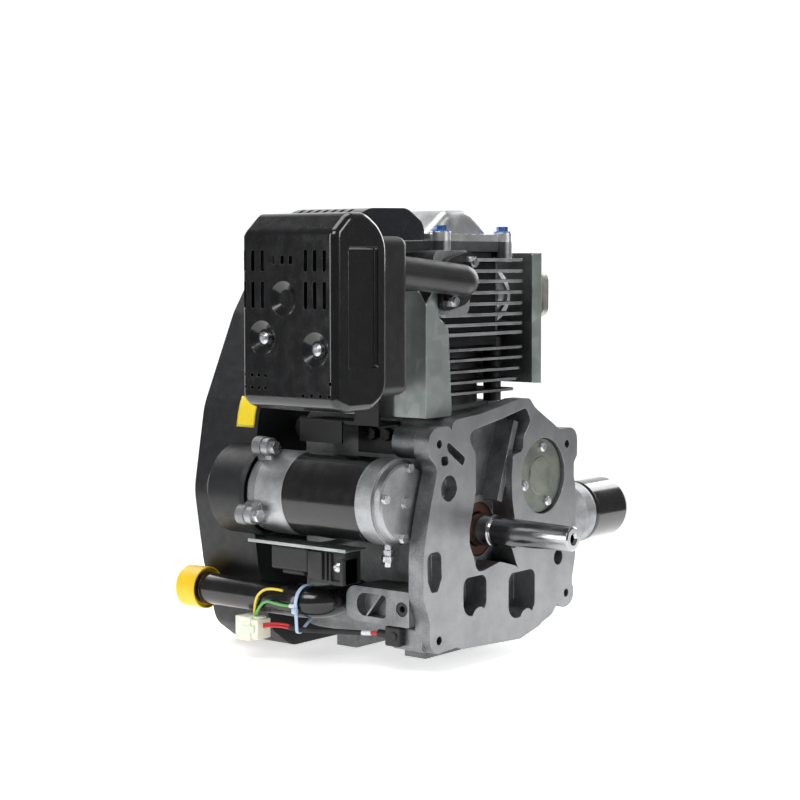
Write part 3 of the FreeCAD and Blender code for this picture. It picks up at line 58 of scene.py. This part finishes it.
class Look:
    """A procedural material, built up a layer at a time and joined up by done()."""

    def __init__(self, name, color, metallic=0.0, roughness=0.5, **sockets):
        self.material = bpy.data.materials.new(name)
        self.material.use_nodes = True
        self.tree = self.material.node_tree
        self.shader = self.tree.nodes["Principled BSDF"]
        self.place = self.node("ShaderNodeTexCoord").outputs["Object"]
        self.color = (*color, 1)
        self.roughness = roughness
        self.metallic = metallic
        self.normal = None
        for socket, value in sockets.items():
            self.shader.inputs[socket.replace("_", " ")].default_value = value

    def node(self, kind, inputs=None, **settings):
        made = self.tree.nodes.new(kind)
        for key, value in settings.items():
            setattr(made, key, value)
        for key, value in (inputs or {}).items():
            if isinstance(value, bpy.types.NodeSocket):
                self.tree.links.new(value, made.inputs[key])
            elif value is not None:
                made.inputs[key].default_value = value
        return made

    def noise(self, scale, detail=4.0, stretch=(1, 1, 1), rough=0.55):
        moved = self.node("ShaderNodeMapping", {"Vector": self.place, "Scale": stretch})
        made = self.node("ShaderNodeTexNoise", {
            "Vector": moved.outputs[0], "Scale": scale, "Detail": detail, "Roughness": rough,
        })
        return made.outputs["Fac"]

    def cells(self, scale, output="Color"):
        made = self.node("ShaderNodeTexVoronoi", {"Vector": self.place, "Scale": scale})
        return made.outputs[output]

    def remap(self, value, low, high, start=0.0, end=1.0):
        made = self.node("ShaderNodeMapRange", {
            "Value": value, "From Min": low, "From Max": high, "To Min": start, "To Max": end,
        })
        return made.outputs[0]

    def math(self, operation, first, second=0.0):
        return self.node("ShaderNodeMath", {0: first, 1: second}, operation=operation).outputs[0]

    def tint(self, mask, color):
        made = self.node("ShaderNodeMix", {0: mask, 6: self.color, 7: (*color, 1)},
                         data_type="RGBA")
        self.color = made.outputs[2]
        return self

    def gloss(self, mask, value):
        made = self.node("ShaderNodeMix", {0: mask, 2: self.roughness, 3: value},
                         data_type="FLOAT")
        self.roughness = made.outputs[0]
        return self

    def metal(self, mask, value):
        made = self.node("ShaderNodeMix", {0: mask, 2: self.metallic, 3: value},
                         data_type="FLOAT")
        self.metallic = made.outputs[0]
        return self

    def soft_edges(self, radius):
        """Rounds sharp edges in the shading, and returns a mask of them."""
        bevel = self.node("ShaderNodeBevel", {"Radius": radius}, samples=4)
        self.normal = bevel.outputs[0]
        true = self.node("ShaderNodeNewGeometry").outputs["Normal"]
        dot = self.node("ShaderNodeVectorMath", {0: self.normal, 1: true}, operation="DOT_PRODUCT")
        return self.remap(dot.outputs["Value"], 0.995, 0.8)

    def bump(self, height, strength, distance):
        made = self.node("ShaderNodeBump", {
            "Height": height, "Strength": strength, "Distance": distance, "Normal": self.normal,
        })
        self.normal = made.outputs[0]
        return self

    def axis_value(self, letter):
        split = self.node("ShaderNodeSeparateXYZ", {0: self.place})
        return split.outputs[letter]

    def facing(self, direction, low=0.93, high=0.99):
        """A mask of the surfaces that face a direction."""
        true = self.node("ShaderNodeNewGeometry").outputs["Normal"]
        dot = self.node("ShaderNodeVectorMath", {0: true, 1: direction}, operation="DOT_PRODUCT")
        return self.remap(dot.outputs["Value"], low, high)

    def done(self):
        for socket, value in (("Base Color", self.color), ("Roughness", self.roughness),
                              ("Metallic", self.metallic), ("Normal", self.normal)):
            if isinstance(value, bpy.types.NodeSocket):
                self.tree.links.new(value, self.shader.inputs[socket])
            elif value is not None:
                self.shader.inputs[socket].default_value = value
        return self.material


def cast_metal(name, color, shadow, bright, roughness=0.42, grain=1.0, edge=0.0007, metallic=0.92):
    """Sand or die cast aluminium: grainy, blotched, a little brighter along its edges."""
    look = Look(name, color, metallic, roughness)
    edges = look.soft_edges(edge)
    look.tint(look.remap(look.noise(38, 5), 0.38, 0.66), shadow)
    look.tint(look.remap(look.noise(900, 3), 0.56, 0.72, 0, 0.45), bright)
    look.gloss(look.remap(look.noise(60, 5), 0.35, 0.7), roughness + 0.16)
    look.tint(look.math("MULTIPLY", edges, 0.7), bright)
    look.gloss(look.math("MULTIPLY", edges, 0.7), roughness - 0.1)
    look.bump(look.noise(1500, 3), 0.28 * grain, 0.0003)
    look.bump(look.noise(210, 3), 0.25 * grain, 0.0006)
    return look


def machined(look, mask, color, roughness, scale=420):
    """Adds a milled face, with the faint arcs of the cutter, where the mask is."""
    rings = look.node("ShaderNodeTexWave", {
        "Vector": look.place, "Scale": scale, "Distortion": 1.5, "Detail": 2.0,
    }, wave_type="RINGS", rings_direction="Y")
    look.tint(mask, color)
    look.gloss(mask, roughness)
    look.bump(look.math("MULTIPLY", rings.outputs["Fac"], mask), 0.10, 0.0002)
    return look


def sheet_enamel(name, color, roughness=0.2, peel=0.12, **sockets):
    """Sprayed gloss enamel on sheet steel, with orange peel, dust and rubbed edges."""
    look = Look(name, color, 0.0, roughness, **sockets)
    edges = look.soft_edges(0.0008)
    look.tint(look.remap(look.noise(24, 4), 0.45, 0.75, 0, 0.6), [v * 1.9 + 0.002 for v in color])
    look.gloss(look.remap(look.noise(90, 5), 0.4, 0.7), roughness + 0.1)
    look.gloss(look.remap(look.noise(700, 2), 0.66, 0.74, 0, 0.5), 0.6)
    look.tint(look.math("MULTIPLY", edges, 0.25), (0.12, 0.12, 0.125))
    look.bump(look.noise(420, 2), peel, 0.0004)
    return look


def moulded(name, color, roughness=0.45, grain=0.2, **sockets):
    """Moulded plastic: fine spark-eroded grain, slight colour drift and scuffed edges."""
    look = Look(name, color, 0.0, roughness, **sockets)
    edges = look.soft_edges(0.0005)
    look.tint(look.remap(look.noise(45, 4), 0.4, 0.7, 0, 0.5), [v * 0.75 for v in color])
    look.tint(look.math("MULTIPLY", edges, 0.35), [min(1, v * 1.4 + 0.02) for v in color])
    look.gloss(look.remap(look.noise(130, 4), 0.4, 0.7), roughness + 0.14)
    look.bump(look.noise(2400, 2), grain, 0.00015)
    return look


def turned_steel(name, color, roughness=0.16, axis="Y", scale=900, bump=0.12):
    """Ground or turned steel, with fine rings round its axis."""
    look = Look(name, color, 1.0, roughness)
    edges = look.soft_edges(0.0004)
    stretch = {"X": (60, 1, 1), "Y": (1, 60, 1), "Z": (1, 1, 60)}[axis]
    look.tint(look.remap(look.noise(20, 4, stretch), 0.35, 0.7, 0, 0.6), [v * 0.72 for v in color])
    look.gloss(look.remap(look.noise(35, 4, stretch), 0.35, 0.7), roughness + 0.12)
    look.tint(look.math("MULTIPLY", edges, 0.5), [min(1, v * 1.25) for v in color])
    look.bump(look.noise(scale / 30, 2, stretch), bump, 0.00012)
    return look


def plated(name, color, roughness=0.24, shadow=None):
    """Zinc plate on forged fasteners: cloudy, softly pitted."""
    look = Look(name, color, 1.0, roughness)
    edges = look.soft_edges(0.0004)
    look.tint(look.remap(look.noise(160, 4), 0.4, 0.65), shadow or [v * 0.62 for v in color])
    look.gloss(look.remap(look.noise(220, 4), 0.4, 0.7), roughness + 0.2)
    look.tint(look.math("MULTIPLY", edges, 0.6), [min(1, v * 1.3 + 0.05) for v in color])
    look.bump(look.noise(900, 3), 0.16, 0.0002)
    return look


cast = cast_metal("cast_aluminium", (0.40, 0.41, 0.42), (0.25, 0.26, 0.27), (0.66, 0.67, 0.68))
cover_look = cast_metal("cast_cover", (0.27, 0.275, 0.28), (0.15, 0.155, 0.16), (0.58, 0.59, 0.60), 0.36)
front_face = cover_look.math(
    "MULTIPLY", cover_look.facing((0, -1, 0)),
    cover_look.remap(cover_look.axis_value("Y"), 0.0006, 0.0003),
)
machined(cover_look, cover_look.math("MULTIPLY", front_face, 0.55), (0.36, 0.365, 0.37), 0.34)
head_look = cast_metal("cast_head", (0.36, 0.37, 0.38), (0.24, 0.25, 0.26), (0.70, 0.71, 0.72), 0.38)
block_look = cast_metal("cast_block", (0.28, 0.285, 0.29), (0.17, 0.175, 0.18), (0.58, 0.59, 0.60))
for finned, level in ((head_look, 0.19), (block_look, 0.122)):
    tips = finned.math(
        "MULTIPLY", finned.facing((0, -1, 0), 0.75, 0.9),
        finned.remap(finned.axis_value("Y"), 0.034, 0.030),
    )
    # Painted shade: above this height the fin faces and the gaps between the fins are tinted near black, all
    # but the front-facing fin tips, standing in for the deep shadow between the fins.
    painted_fin_shade = finned.math(
        "MULTIPLY", finned.remap(finned.axis_value("Z"), level, level + 0.003),
        finned.math("SUBTRACT", 1.0, tips),
    )
    finned.tint(finned.math("MULTIPLY", painted_fin_shade, 0.86), (0.028, 0.028, 0.03))
satin = cast_metal("satin_aluminium", (0.62, 0.62, 0.62), (0.46, 0.47, 0.48), (0.86, 0.86, 0.86),
                   0.3, 0.35, 0.0012)
drive_look = cast_metal("starter_casting", (0.42, 0.43, 0.44), (0.28, 0.29, 0.30),
                        (0.78, 0.79, 0.80), 0.34, 0.7)
pump_look = cast_metal("olive_plate", (0.27, 0.29, 0.25), (0.18, 0.20, 0.17), (0.44, 0.46, 0.42),
                       0.34, 0.6)
shaft_look = turned_steel("ground_steel", (0.50, 0.50, 0.51), 0.12)
steel_look = turned_steel("machined_steel", (0.46, 0.46, 0.47), 0.26)
iron = cast_metal("cast_iron", (0.13, 0.13, 0.135), (0.07, 0.07, 0.075), (0.3, 0.3, 0.3), 0.5)
zinc = plated("bright_zinc", (0.70, 0.71, 0.73))
exhaust_zinc = plated("exhaust_zinc", (0.62, 0.63, 0.65))
low_screws = exhaust_zinc.remap(exhaust_zinc.axis_value("Z"), 0.112, 0.108)
exhaust_zinc.tint(low_screws, (0.035, 0.034, 0.033))
blue_zinc = plated("blue_zinc", (0.07, 0.19, 0.55), 0.28, (0.20, 0.34, 0.62))
guard_enamel = sheet_enamel("bluish_black_enamel", (0.002, 0.0022, 0.003), 0.16,
                            Coat_Weight=0.35, Coat_Roughness=0.06)
pipe_enamel = sheet_enamel("heat_black_enamel", (0.004, 0.0038, 0.0038), 0.36, 0.25)
hood_enamel = sheet_enamel("navy_black_enamel", (0.006, 0.0075, 0.012), 0.2,
                           Coat_Weight=0.3, Coat_Roughness=0.08)
filter_enamel = sheet_enamel("filter_enamel", (0.004, 0.004, 0.0045), 0.12, 0.05,
                             Coat_Weight=0.4, Coat_Roughness=0.05)
tube_enamel = sheet_enamel("starter_enamel", (0.006, 0.006, 0.0065), 0.16, 0.08,
                           Coat_Weight=0.3, Coat_Roughness=0.06)
shroud = moulded("black_shroud", (0.004, 0.0045, 0.006), 0.38, 0.22)
plastic = moulded("black_plastic", (0.012, 0.012, 0.012), 0.42, 0.3)
rubber = moulded("black_rubber", (0.016, 0.016, 0.016), 0.62, 0.4)
gasket = moulded("gasket", (0.035, 0.033, 0.03), 0.7, 0.5)
seal_look = moulded("seal_rubber", (0.085, 0.030, 0.016), 0.4, 0.3)
cream = moulded("cream_nylon", (0.80, 0.80, 0.66), 0.38, 0.12, Subsurface_Weight=0.25,
                Subsurface_Scale=0.004)
yellow = moulded("yellow_plastic", (0.86, 0.56, 0.012), 0.34, 0.12)
ceramic = moulded("ceramic", (0.80, 0.80, 0.77), 0.12, 0.02)
zinc_casting = cast_metal("zinc_casting", (0.46, 0.45, 0.42), (0.33, 0.32, 0.29), (0.70, 0.69, 0.66),
                          0.34, 0.5)

galvanised = Look("galvanised_sheet", (0.40, 0.44, 0.42), 0.95, 0.32)
sheet_edges = galvanised.soft_edges(0.0006)
galvanised.tint(galvanised.remap(galvanised.cells(70), 0.2, 0.9, 0, 0.55), (0.27, 0.31, 0.29))
galvanised.tint(galvanised.remap(galvanised.noise(26, 4), 0.45, 0.7, 0, 0.6), (0.62, 0.65, 0.64))
galvanised.gloss(galvanised.remap(galvanised.cells(70), 0.1, 0.9), 0.48)
galvanised.tint(sheet_edges, (0.92, 0.94, 0.93))
galvanised.bump(galvanised.cells(70, "Distance"), 0.08, 0.0008)
galvanised.bump(galvanised.noise(1200, 2), 0.1, 0.0002)

LOOKS = {
    cast: "oil_filter_adapter intake_manifold piston",
    block_look: "cylinder_block",
    cover_look: "crankcase_cover",
    head_look: "cylinder_head",
    satin: "rocker_cover",
    drive_look: "starter_drive_housing starter_end_cap",
    pump_look: "oil_pump_cover",
    shaft_look: "crankshaft",
    steel_look: "crank_gear cam_gear camshaft main_bearings piston_pin piston_rings "
                "connecting_rod rod_big_end starter_armature starter_pinion",
    iron: "cylinder_liner flywheel",
    zinc: "case_bolts starter_fasteners",
    exhaust_zinc: "exhaust_fasteners",
    blue_zinc: "rocker_cover_bolts",
    galvanised: "left_air_duct right_air_duct relay_bracket",
    gasket: "head_gasket",
    seal_look: "pto_oil_seal",
    guard_enamel: "muffler_guard",
    pipe_enamel: "exhaust_elbow muffler_body muffler_bracket",
    hood_enamel: "top_hood",
    filter_enamel: "oil_filter",
    tube_enamel: "starter_tube filler_tube",
    shroud: "blower_housing blower_backplate fan_screen cooling_fan",
    plastic: "starter_relay voltage_regulator oil_sensor drain_plug ignition_coil",
    rubber: "sensor_lead plug_lead plug_cap",
    cream: "harness_connector",
    yellow: "dipstick_cap",
    ceramic: "spark_plug",
    zinc_casting: "air_horn carburettor_body float_bowl throttle_lever choke_lever",
}


def dress(thing, material):
    """Puts one material on a piece."""
    if not thing.material_slots:
        thing.data.materials.append(material)
    for slot in thing.material_slots:
        slot.material = material
    return thing


for look, names in LOOKS.items():
    finished = look.done()
    for name in names.split():
        dress(nodes[name], finished)


# ---- building blocks -------------------------------------------------------

def piece(name, mesh, material, body="root", smooth=40):
    """Links a mesh as a shown piece that rides on a body."""
    thing = bpy.data.objects.new(name, mesh)
    scene.collection.objects.link(thing)
    if material:
        dress(thing, material)
    if smooth:
        mesh.shade_smooth()
        mesh.set_sharp_from_angle(angle=math.radians(smooth))
    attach(thing, body)
    return thing


def from_bmesh(build):
    mesh = bpy.data.meshes.new("mesh")
    bmesh.ops.recalc_face_normals(build, faces=build.faces)
    build.to_mesh(mesh)
    build.free()
    return mesh


def blocks(name, corners, bevel, material, body="root"):
    """Several rounded blocks as one piece; corners are (low, high) in millimetres."""
    build = bmesh.new()
    for low, high in corners:
        low, high = Vector(low) * MM, Vector(high) * MM
        made = bmesh.ops.create_cube(build, size=1)["verts"]
        for vertex in made:
            vertex.co = Vector(
                low[i] + (high[i] - low[i]) * (vertex.co[i] + 0.5) for i in range(3)
            )
        edges = {edge for vertex in made for edge in vertex.link_edges}
        bmesh.ops.bevel(build, geom=list(edges), offset=bevel * MM, segments=3, profile=0.5,
                        affect="EDGES")
    return piece(name, from_bmesh(build), material, body)


def turn_to(axis):
    """The rotation that takes +Z to an axis."""
    return Vector(axis).to_track_quat("Z", "Y").to_matrix().to_4x4()


def lathe(name, center, axis, profile, material, body="root", steps=48):
    """A profile of (along, radius) in millimetres, spun about an axis through a centre."""
    build = bmesh.new()
    rows = []
    for along, radius in profile:
        if radius == 0:
            rows.append([build.verts.new((0, 0, along * MM))])
            continue
        rows.append([
            build.verts.new((radius * MM * math.cos(2 * math.pi * k / steps),
                             radius * MM * math.sin(2 * math.pi * k / steps), along * MM))
            for k in range(steps)
        ])
    for first, second in zip(rows, rows[1:]):
        for k in range(steps):
            loop = [first[k % len(first)], first[(k + 1) % len(first)],
                    second[(k + 1) % len(second)], second[k % len(second)]]
            unique = list(dict.fromkeys(loop))
            if len(unique) > 2:
                build.faces.new(unique)
    build.transform(Matrix.Translation(Vector(center) * MM) @ turn_to(axis))
    return piece(name, from_bmesh(build), material, body)


def route(name, points, radius=0.0):
    """A smooth cable line through control points in millimetres."""
    curve = bpy.data.curves.new(name, "CURVE")
    curve.dimensions = "3D"
    spline = curve.splines.new("NURBS")
    spline.points.add(len(points) - 1)
    for point, place in zip(spline.points, points):
        point.co = (*(Vector(place) * MM), 1)
    spline.order_u = 3
    spline.use_endpoint_u = True
    spline.resolution_u = 12
    curve.bevel_depth = radius * MM
    curve.bevel_resolution = 6
    curve.use_fill_caps = True
    thing = bpy.data.objects.new(name, curve)
    scene.collection.objects.link(thing)
    return thing


def line_of(points):
    """The points along the smooth line of a route."""
    guide = route("guide", points)
    mesh = bpy.data.meshes.new_from_object(guide)
    line = [vertex.co.copy() for vertex in mesh.vertices]
    bpy.data.objects.remove(guide)
    bpy.data.meshes.remove(mesh)
    return line


def length_of(line):
    return round(sum((b - a).length for a, b in zip(line, line[1:])), 3)


def sweep(build, line, radius, shift=(0, 0), slot=0, sides=14):
    """Adds a round tube along a line, moved sideways and upwards by a shift in metres."""
    rings = []
    for index, point in enumerate(line):
        ahead = line[min(index + 1, len(line) - 1)] - line[max(index - 1, 0)]
        side = ahead.cross(Vector((0, 0, 1))).normalized()
        up = side.cross(ahead).normalized()
        middle = point + side * shift[0] + up * shift[1]
        rings.append([
            build.verts.new(middle + (side * math.cos(turn) + up * math.sin(turn)) * radius)
            for turn in (2 * math.pi * k / sides for k in range(sides))
        ])
    for first, second in zip(rings, rings[1:]):
        for k in range(sides):
            face = build.faces.new((first[k], first[(k + 1) % sides],
                                    second[(k + 1) % sides], second[k]))
            face.material_index = slot
    for ring in (rings[0], rings[-1]):
        build.faces.new(ring).material_index = slot


def band(name, outline, start, width, thick, axis, material):
    """A flat strap along a closed outline of (a, b) across an axis, in millimetres."""
    build = bmesh.new()
    count = len(outline)
    middle = sum((Vector(p) for p in outline), Vector((0, 0))) / count
    rows = []
    for along, grow in ((start, 0), (start + width, 0), (start + width, thick), (start, thick)):
        row = []
        for a, b in outline:
            out = (Vector((a, b)) - middle).normalized() * grow
            row.append(build.verts.new(mm(*axis(a + out.x, b + out.y, along))))
        rows.append(row)
    for r in range(4):
        first, second = rows[r], rows[(r + 1) % 4]
        for k in range(count):
            build.faces.new((first[k], first[(k + 1) % count], second[(k + 1) % count], second[k]))
    return piece(name, from_bmesh(build), material)


def hull(circles, count=64):
    """The outline of a string pulled round circles (a, b, radius)."""
    outline = []
    for k in range(count):
        turn = 2 * math.pi * k / count
        out = Vector((math.cos(turn), math.sin(turn)))
        a, b, radius = max(circles, key=lambda c: c[0] * out.x + c[1] * out.y + c[2])
        outline.append((a + radius * out.x, b + radius * out.y))
    return outline


def panel(name, center, right, up, width, height, corner, thick, material, slot=None):
    """A thin label or plate with round corners, facing along right x up."""
    build = bmesh.new()
    right, up = Vector(right).normalized(), Vector(up).normalized()
    out = right.cross(up)
    rim = []
    for sx, sy, start in ((1, 1, 0), (-1, 1, 90), (-1, -1, 180), (1, -1, 270)):
        for step in range(7):
            turn = math.radians(start + 15 * step)
            rim.append((sx * (width / 2 - corner) + corner * math.cos(turn),
                        sy * (height / 2 - corner) + corner * math.sin(turn)))
    rows = [
        [build.verts.new((Vector(center) + right * a * size + up * b * size + out * level) * MM)
         for a, b in rim]
        for level, size in ((0, 1), (thick * 0.7, 1), (thick, 0.99))
    ]
    for first, second in zip(rows, rows[1:]):
        for k in range(len(rim)):
            build.faces.new((first[k], first[(k + 1) % len(rim)],
                             second[(k + 1) % len(rim)], second[k]))
    build.faces.new(rows[0])
    build.faces.new(rows[-1])
    return piece(name, from_bmesh(build), material)


# ---- camera ----------------------------------------------------------------

camera_data = bpy.data.cameras.new("camera")
camera_data.lens = 85.05
camera = bpy.data.objects.new("camera", camera_data)
scene.collection.objects.link(camera)
camera.location = (-1.49936, -1.06348, 0.26367)
aim = Vector((-0.0456, 0.08875, 0.12744)) - camera.location
camera.rotation_mode = "QUATERNION"
camera.rotation_quaternion = aim.to_track_quat("-Z", "Y")
scene.camera = camera


# ---- wiring ----------------------------------------------------------------

red = moulded("red_insulation", (0.55, 0.02, 0.025), 0.35, 0.1).done()
white = moulded("white_insulation", (0.75, 0.76, 0.78), 0.35, 0.1).done()
yellow_wire = moulded("yellow_insulation", (0.80, 0.62, 0.05), 0.35, 0.1).done()
green_wire = moulded("green_insulation", (0.12, 0.42, 0.10), 0.35, 0.1).done()

SENSOR_ROUTE = [(-116.5, 58, -90), (-119, 80, -92), (-132, 104, -91), (-156, 124, -89),
                (-160, 147, -85), (-156, 170.2, -90)]
PLUG_ROUTE = [(26.2, 258, 142), (60, 258, 150), (62, 188, 226), (115, 188, 226),
              (115, 150.2, 226)]
SLEEVE_RADIUS = 2.5
WIRE_RADIUS = 1.25


def sensor_lead():
    """A red pair from the connector that goes into a black sleeve and on to the sensor."""
    line = line_of(SENSOR_ROUTE)
    count = len(line)
    build = bmesh.new()
    sweep(build, line[:int(count * 0.06) + 1], WIRE_RADIUS * 1.5 * MM, slot=1)
    sweep(build, line[int(count * 0.06):int(count * 0.12) + 1], 2.3 * MM, slot=2)
    sweep(build, line[int(count * 0.12):int(count * 0.74) + 1], SLEEVE_RADIUS * MM)
    for side in (-1, 1):
        sweep(build, line[int(count * 0.74) - 1:], WIRE_RADIUS * MM,
              (0.3 * side * MM, side * WIRE_RADIUS * MM), slot=1)
    thing = piece("sensor_wire", from_bmesh(build), None, smooth=60)
    for material in (nodes["sensor_lead"].material_slots[0].material, red, white):
        thing.data.materials.append(material)
    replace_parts(thing, "sensor_lead")
    return thing, line


sensor_wire, sensor_line = sensor_lead()
plug_wire = route("ignition_wire", PLUG_ROUTE, 3.5)
dress(plug_wire, nodes["plug_lead"].material_slots[0].material)
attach(plug_wire, "root")
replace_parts(plug_wire, "plug_lead")


def harness_connector():
    """Two mated nylon shells with a latch, keying ribs and a wire collar."""
    thing = blocks("wire_connector", [
        ((-165.5, 180, -105.5), (-143.5, 199.8, -82)),
        ((-164, 171.2, -103.5), (-145, 182, -84)),
        ((-165.9, 175, -97), (-163.4, 192, -90)),
        ((-160, 173, -84.5), (-149, 195, -81.7)),
        ((-165.9, 194.5, -103), (-163.5, 199, -99)),
        ((-165.9, 194.5, -88), (-163.5, 199, -84)),
    ], 1.0, nodes["harness_connector"].material_slots[0].material)
    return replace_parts(thing, "harness_connector")


connector = harness_connector()

WIRES = {
    "yellow_wire": (yellow_wire, 1.3, [
        (-155, 184, -81.9), (-161, 178, -71), (-163, 172, -58), (-163, 157, -50), (-161, 141, -52)]),
    "green_wire": (green_wire, 1.3, [
        (-158, 180, -81.9), (-162, 171, -70), (-164, 159, -63), (-162.5, 146, -66), (-160.5, 133, -66)]),
}
wires = {}
for name, (material, radius, points) in WIRES.items():
    wire = dress(route(name, points, radius), material)
    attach(wire, "root")
    wires[name] = (wire, points, radius)

TIE_Y = 124
tied = min(sensor_line, key=lambda point: abs(point.y - (TIE_Y + 1.8) * MM)) / MM
lathe("wire_crimp", (-160.4, 133.4, -66), (0.35, -1, 0), [(0, 0), (0, 1.6), (1, 2), (7, 2), (8, 1.5), (8, 0)],
      white, steps=20)
tie_look = moulded("tie_nylon", (0.45, 0.58, 0.78), 0.3, 0.1).done()
band("cable_tie", hull([(-143, -64, 16.4), (tied.x, tied.z, 3.2)]), TIE_Y, 3.6, 1.1,
     lambda a, b, along: (a, along, b), tie_look)
blocks("cable_tie_head", [((-163.2, TIE_Y - 1, -73), (-159, TIE_Y + 4.6, -67.5))], 0.8, tie_look)

# ---- labels, without any printing ------------------------------------------

yellow_label = moulded("yellow_label", (0.88, 0.66, 0.02), 0.3, 0.05).done()
grey_label = moulded("grey_label", (0.56, 0.57, 0.55), 0.35, 0.05).done()
black_print = moulded("label_edge", (0.02, 0.02, 0.02), 0.4, 0.05).done()

# ---- voltage regulator -----------------------------------------------------

regulator_black = nodes["voltage_regulator"].material_slots[0].material
regulator = blocks("finned_regulator", [
    ((-152.5, 70, -41), (-129, 113.5, -10)),
    ((-155.8, 96, -38), (-134, 114, -11)),
    ((-155.8, 90, -38), (-134, 92.4, -11)),
    ((-155.8, 85, -38), (-134, 87.4, -11)),
    ((-155.8, 70, -41), (-134, 74, -16)),
    ((-154.5, 74, -41.5), (-134, 85, -37)),
], 0.9, regulator_black)
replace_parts(regulator, "voltage_regulator")
zinc_material = nodes["case_bolts"].material_slots[0].material
lathe("regulator_screw", (-152.4, 79.5, -24), (-1, 0, 0),
      [(0, 0), (0, 5), (0.8, 5.2), (1.4, 4.6), (2.6, 3.4), (3.4, 1.6), (3.0, 0.7), (2.2, 0)],
      zinc_material, steps=32)


def decal(name, low, high, grow, lift, material):
    """A blank sticker that follows the blower's left wall; low and high are (y, z)."""
    wall = nodes["blower_housing"]
    build = bmesh.new()
    steps = 10
    rows = []
    for i in range(steps + 1):
        row = []
        for j in range(steps + 1):
            y = low[0] - grow + (high[0] - low[0] + 2 * grow) * i / steps
            z = low[1] - grow + (high[1] - low[1] + 2 * grow) * j / steps
            hit, place, facing, _ = wall.ray_cast(mm(-300, y, z), Vector((1, 0, 0)))
            row.append(build.verts.new(place + facing * lift * MM) if hit else None)
        rows.append(row)
    for i in range(steps):
        for j in range(steps):
            corners = (rows[i][j], rows[i + 1][j], rows[i + 1][j + 1], rows[i][j + 1])
            if all(corners):
                build.faces.new(corners)
    thing = piece(name, from_bmesh(build), material)
    thickness = thing.modifiers.new("sheet", "SOLIDIFY")
    thickness.thickness = 0.15 * MM
    thickness.offset = -1
    return thing


decal("yellow_sticker", (210, 99), (234, 129), 0, 0.3, yellow_label)
decal("grey_sticker_edge", (212, -86), (232, -60), 1.2, 0.2, black_print)
decal("grey_sticker", (212, -86), (232, -60), 0, 0.4, grey_label)


# ---- floor and light -------------------------------------------------------

def floor():
    build = bmesh.new()
    bmesh.ops.create_grid(build, x_segments=8, y_segments=8, size=0.8)
    mesh = from_bmesh(build)
    thing = bpy.data.objects.new("floor", mesh)
    scene.collection.objects.link(thing)
    thing.location.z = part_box("cylinder_block")[0].z - 0.0003
    look = Look("pale_floor", (0.92, 0.92, 0.92), 0.0, 0.85, Emission_Color=(1, 1, 1, 1),
                Emission_Strength=0.6)
    look.tint(look.remap(look.noise(3, 3), 0.3, 0.7, 0, 0.4), (0.87, 0.87, 0.88))
    look.bump(look.noise(300, 2), 0.05, 0.0004)
    dress(thing, look.done())


floor()


def area_light(name, place, target, size, power, color=(1, 1, 1)):
    data = bpy.data.lights.new(name, "AREA")
    data.shape = "RECTANGLE"
    data.size, data.size_y = size
    data.energy = power
    data.color = color
    lamp = bpy.data.objects.new(name, data)
    scene.collection.objects.link(lamp)
    lamp.location = place
    lamp.rotation_mode = "QUATERNION"
    lamp.rotation_quaternion = (Vector(target) - Vector(place)).to_track_quat("-Z", "Y")
    return lamp


MIDDLE = (-0.03, 0.08, 0.08)
area_light("key", (-1.5, -0.5, 1.5), MIDDLE, (1.1, 0.8), 19)
area_light("front", (0.5, -1.8, 0.9), MIDDLE, (0.5, 1.2), 13)
area_light("top", (0.0, 0.3, 2.0), MIDDLE, (1.6, 1.2), 22)
area_light("left_strip", (-1.9, 0.9, 0.5), MIDDLE, (0.25, 1.4), 8)
area_light("right", (1.8, 0.2, 0.8), MIDDLE, (0.8, 1.2), 14)
area_light("back", (0.2, 2.0, 1.1), MIDDLE, (1.2, 1.0), 16)

world = bpy.data.worlds.new("studio")
world.use_nodes = True
studio = world.node_tree
ray = studio.nodes.new("ShaderNodeTexCoord")
towards = studio.nodes.new("ShaderNodeVectorMath")
towards.operation = "DOT_PRODUCT"
towards.inputs[1].default_value = (0.786, 0.617, -0.04)
bright = studio.nodes.new("ShaderNodeMapRange")
for socket, value in (("From Min", 0.5), ("From Max", 0.9), ("To Min", 0.2), ("To Max", 1.15)):
    bright.inputs[socket].default_value = value
studio.links.new(ray.outputs["Generated"], towards.inputs[0])
studio.links.new(towards.outputs["Value"], bright.inputs["Value"])
studio.links.new(bright.outputs[0], studio.nodes["Background"].inputs[1])
studio.nodes["Background"].inputs[0].default_value = (1, 1, 1, 1)
scene.world = world
scene.view_settings.view_transform = "Standard"

# ---- cords -----------------------------------------------------------------

length_of(line_of(PLUG_ROUTE))
for name, (wire, points, radius) in wires.items():
    length_of(line_of(points))
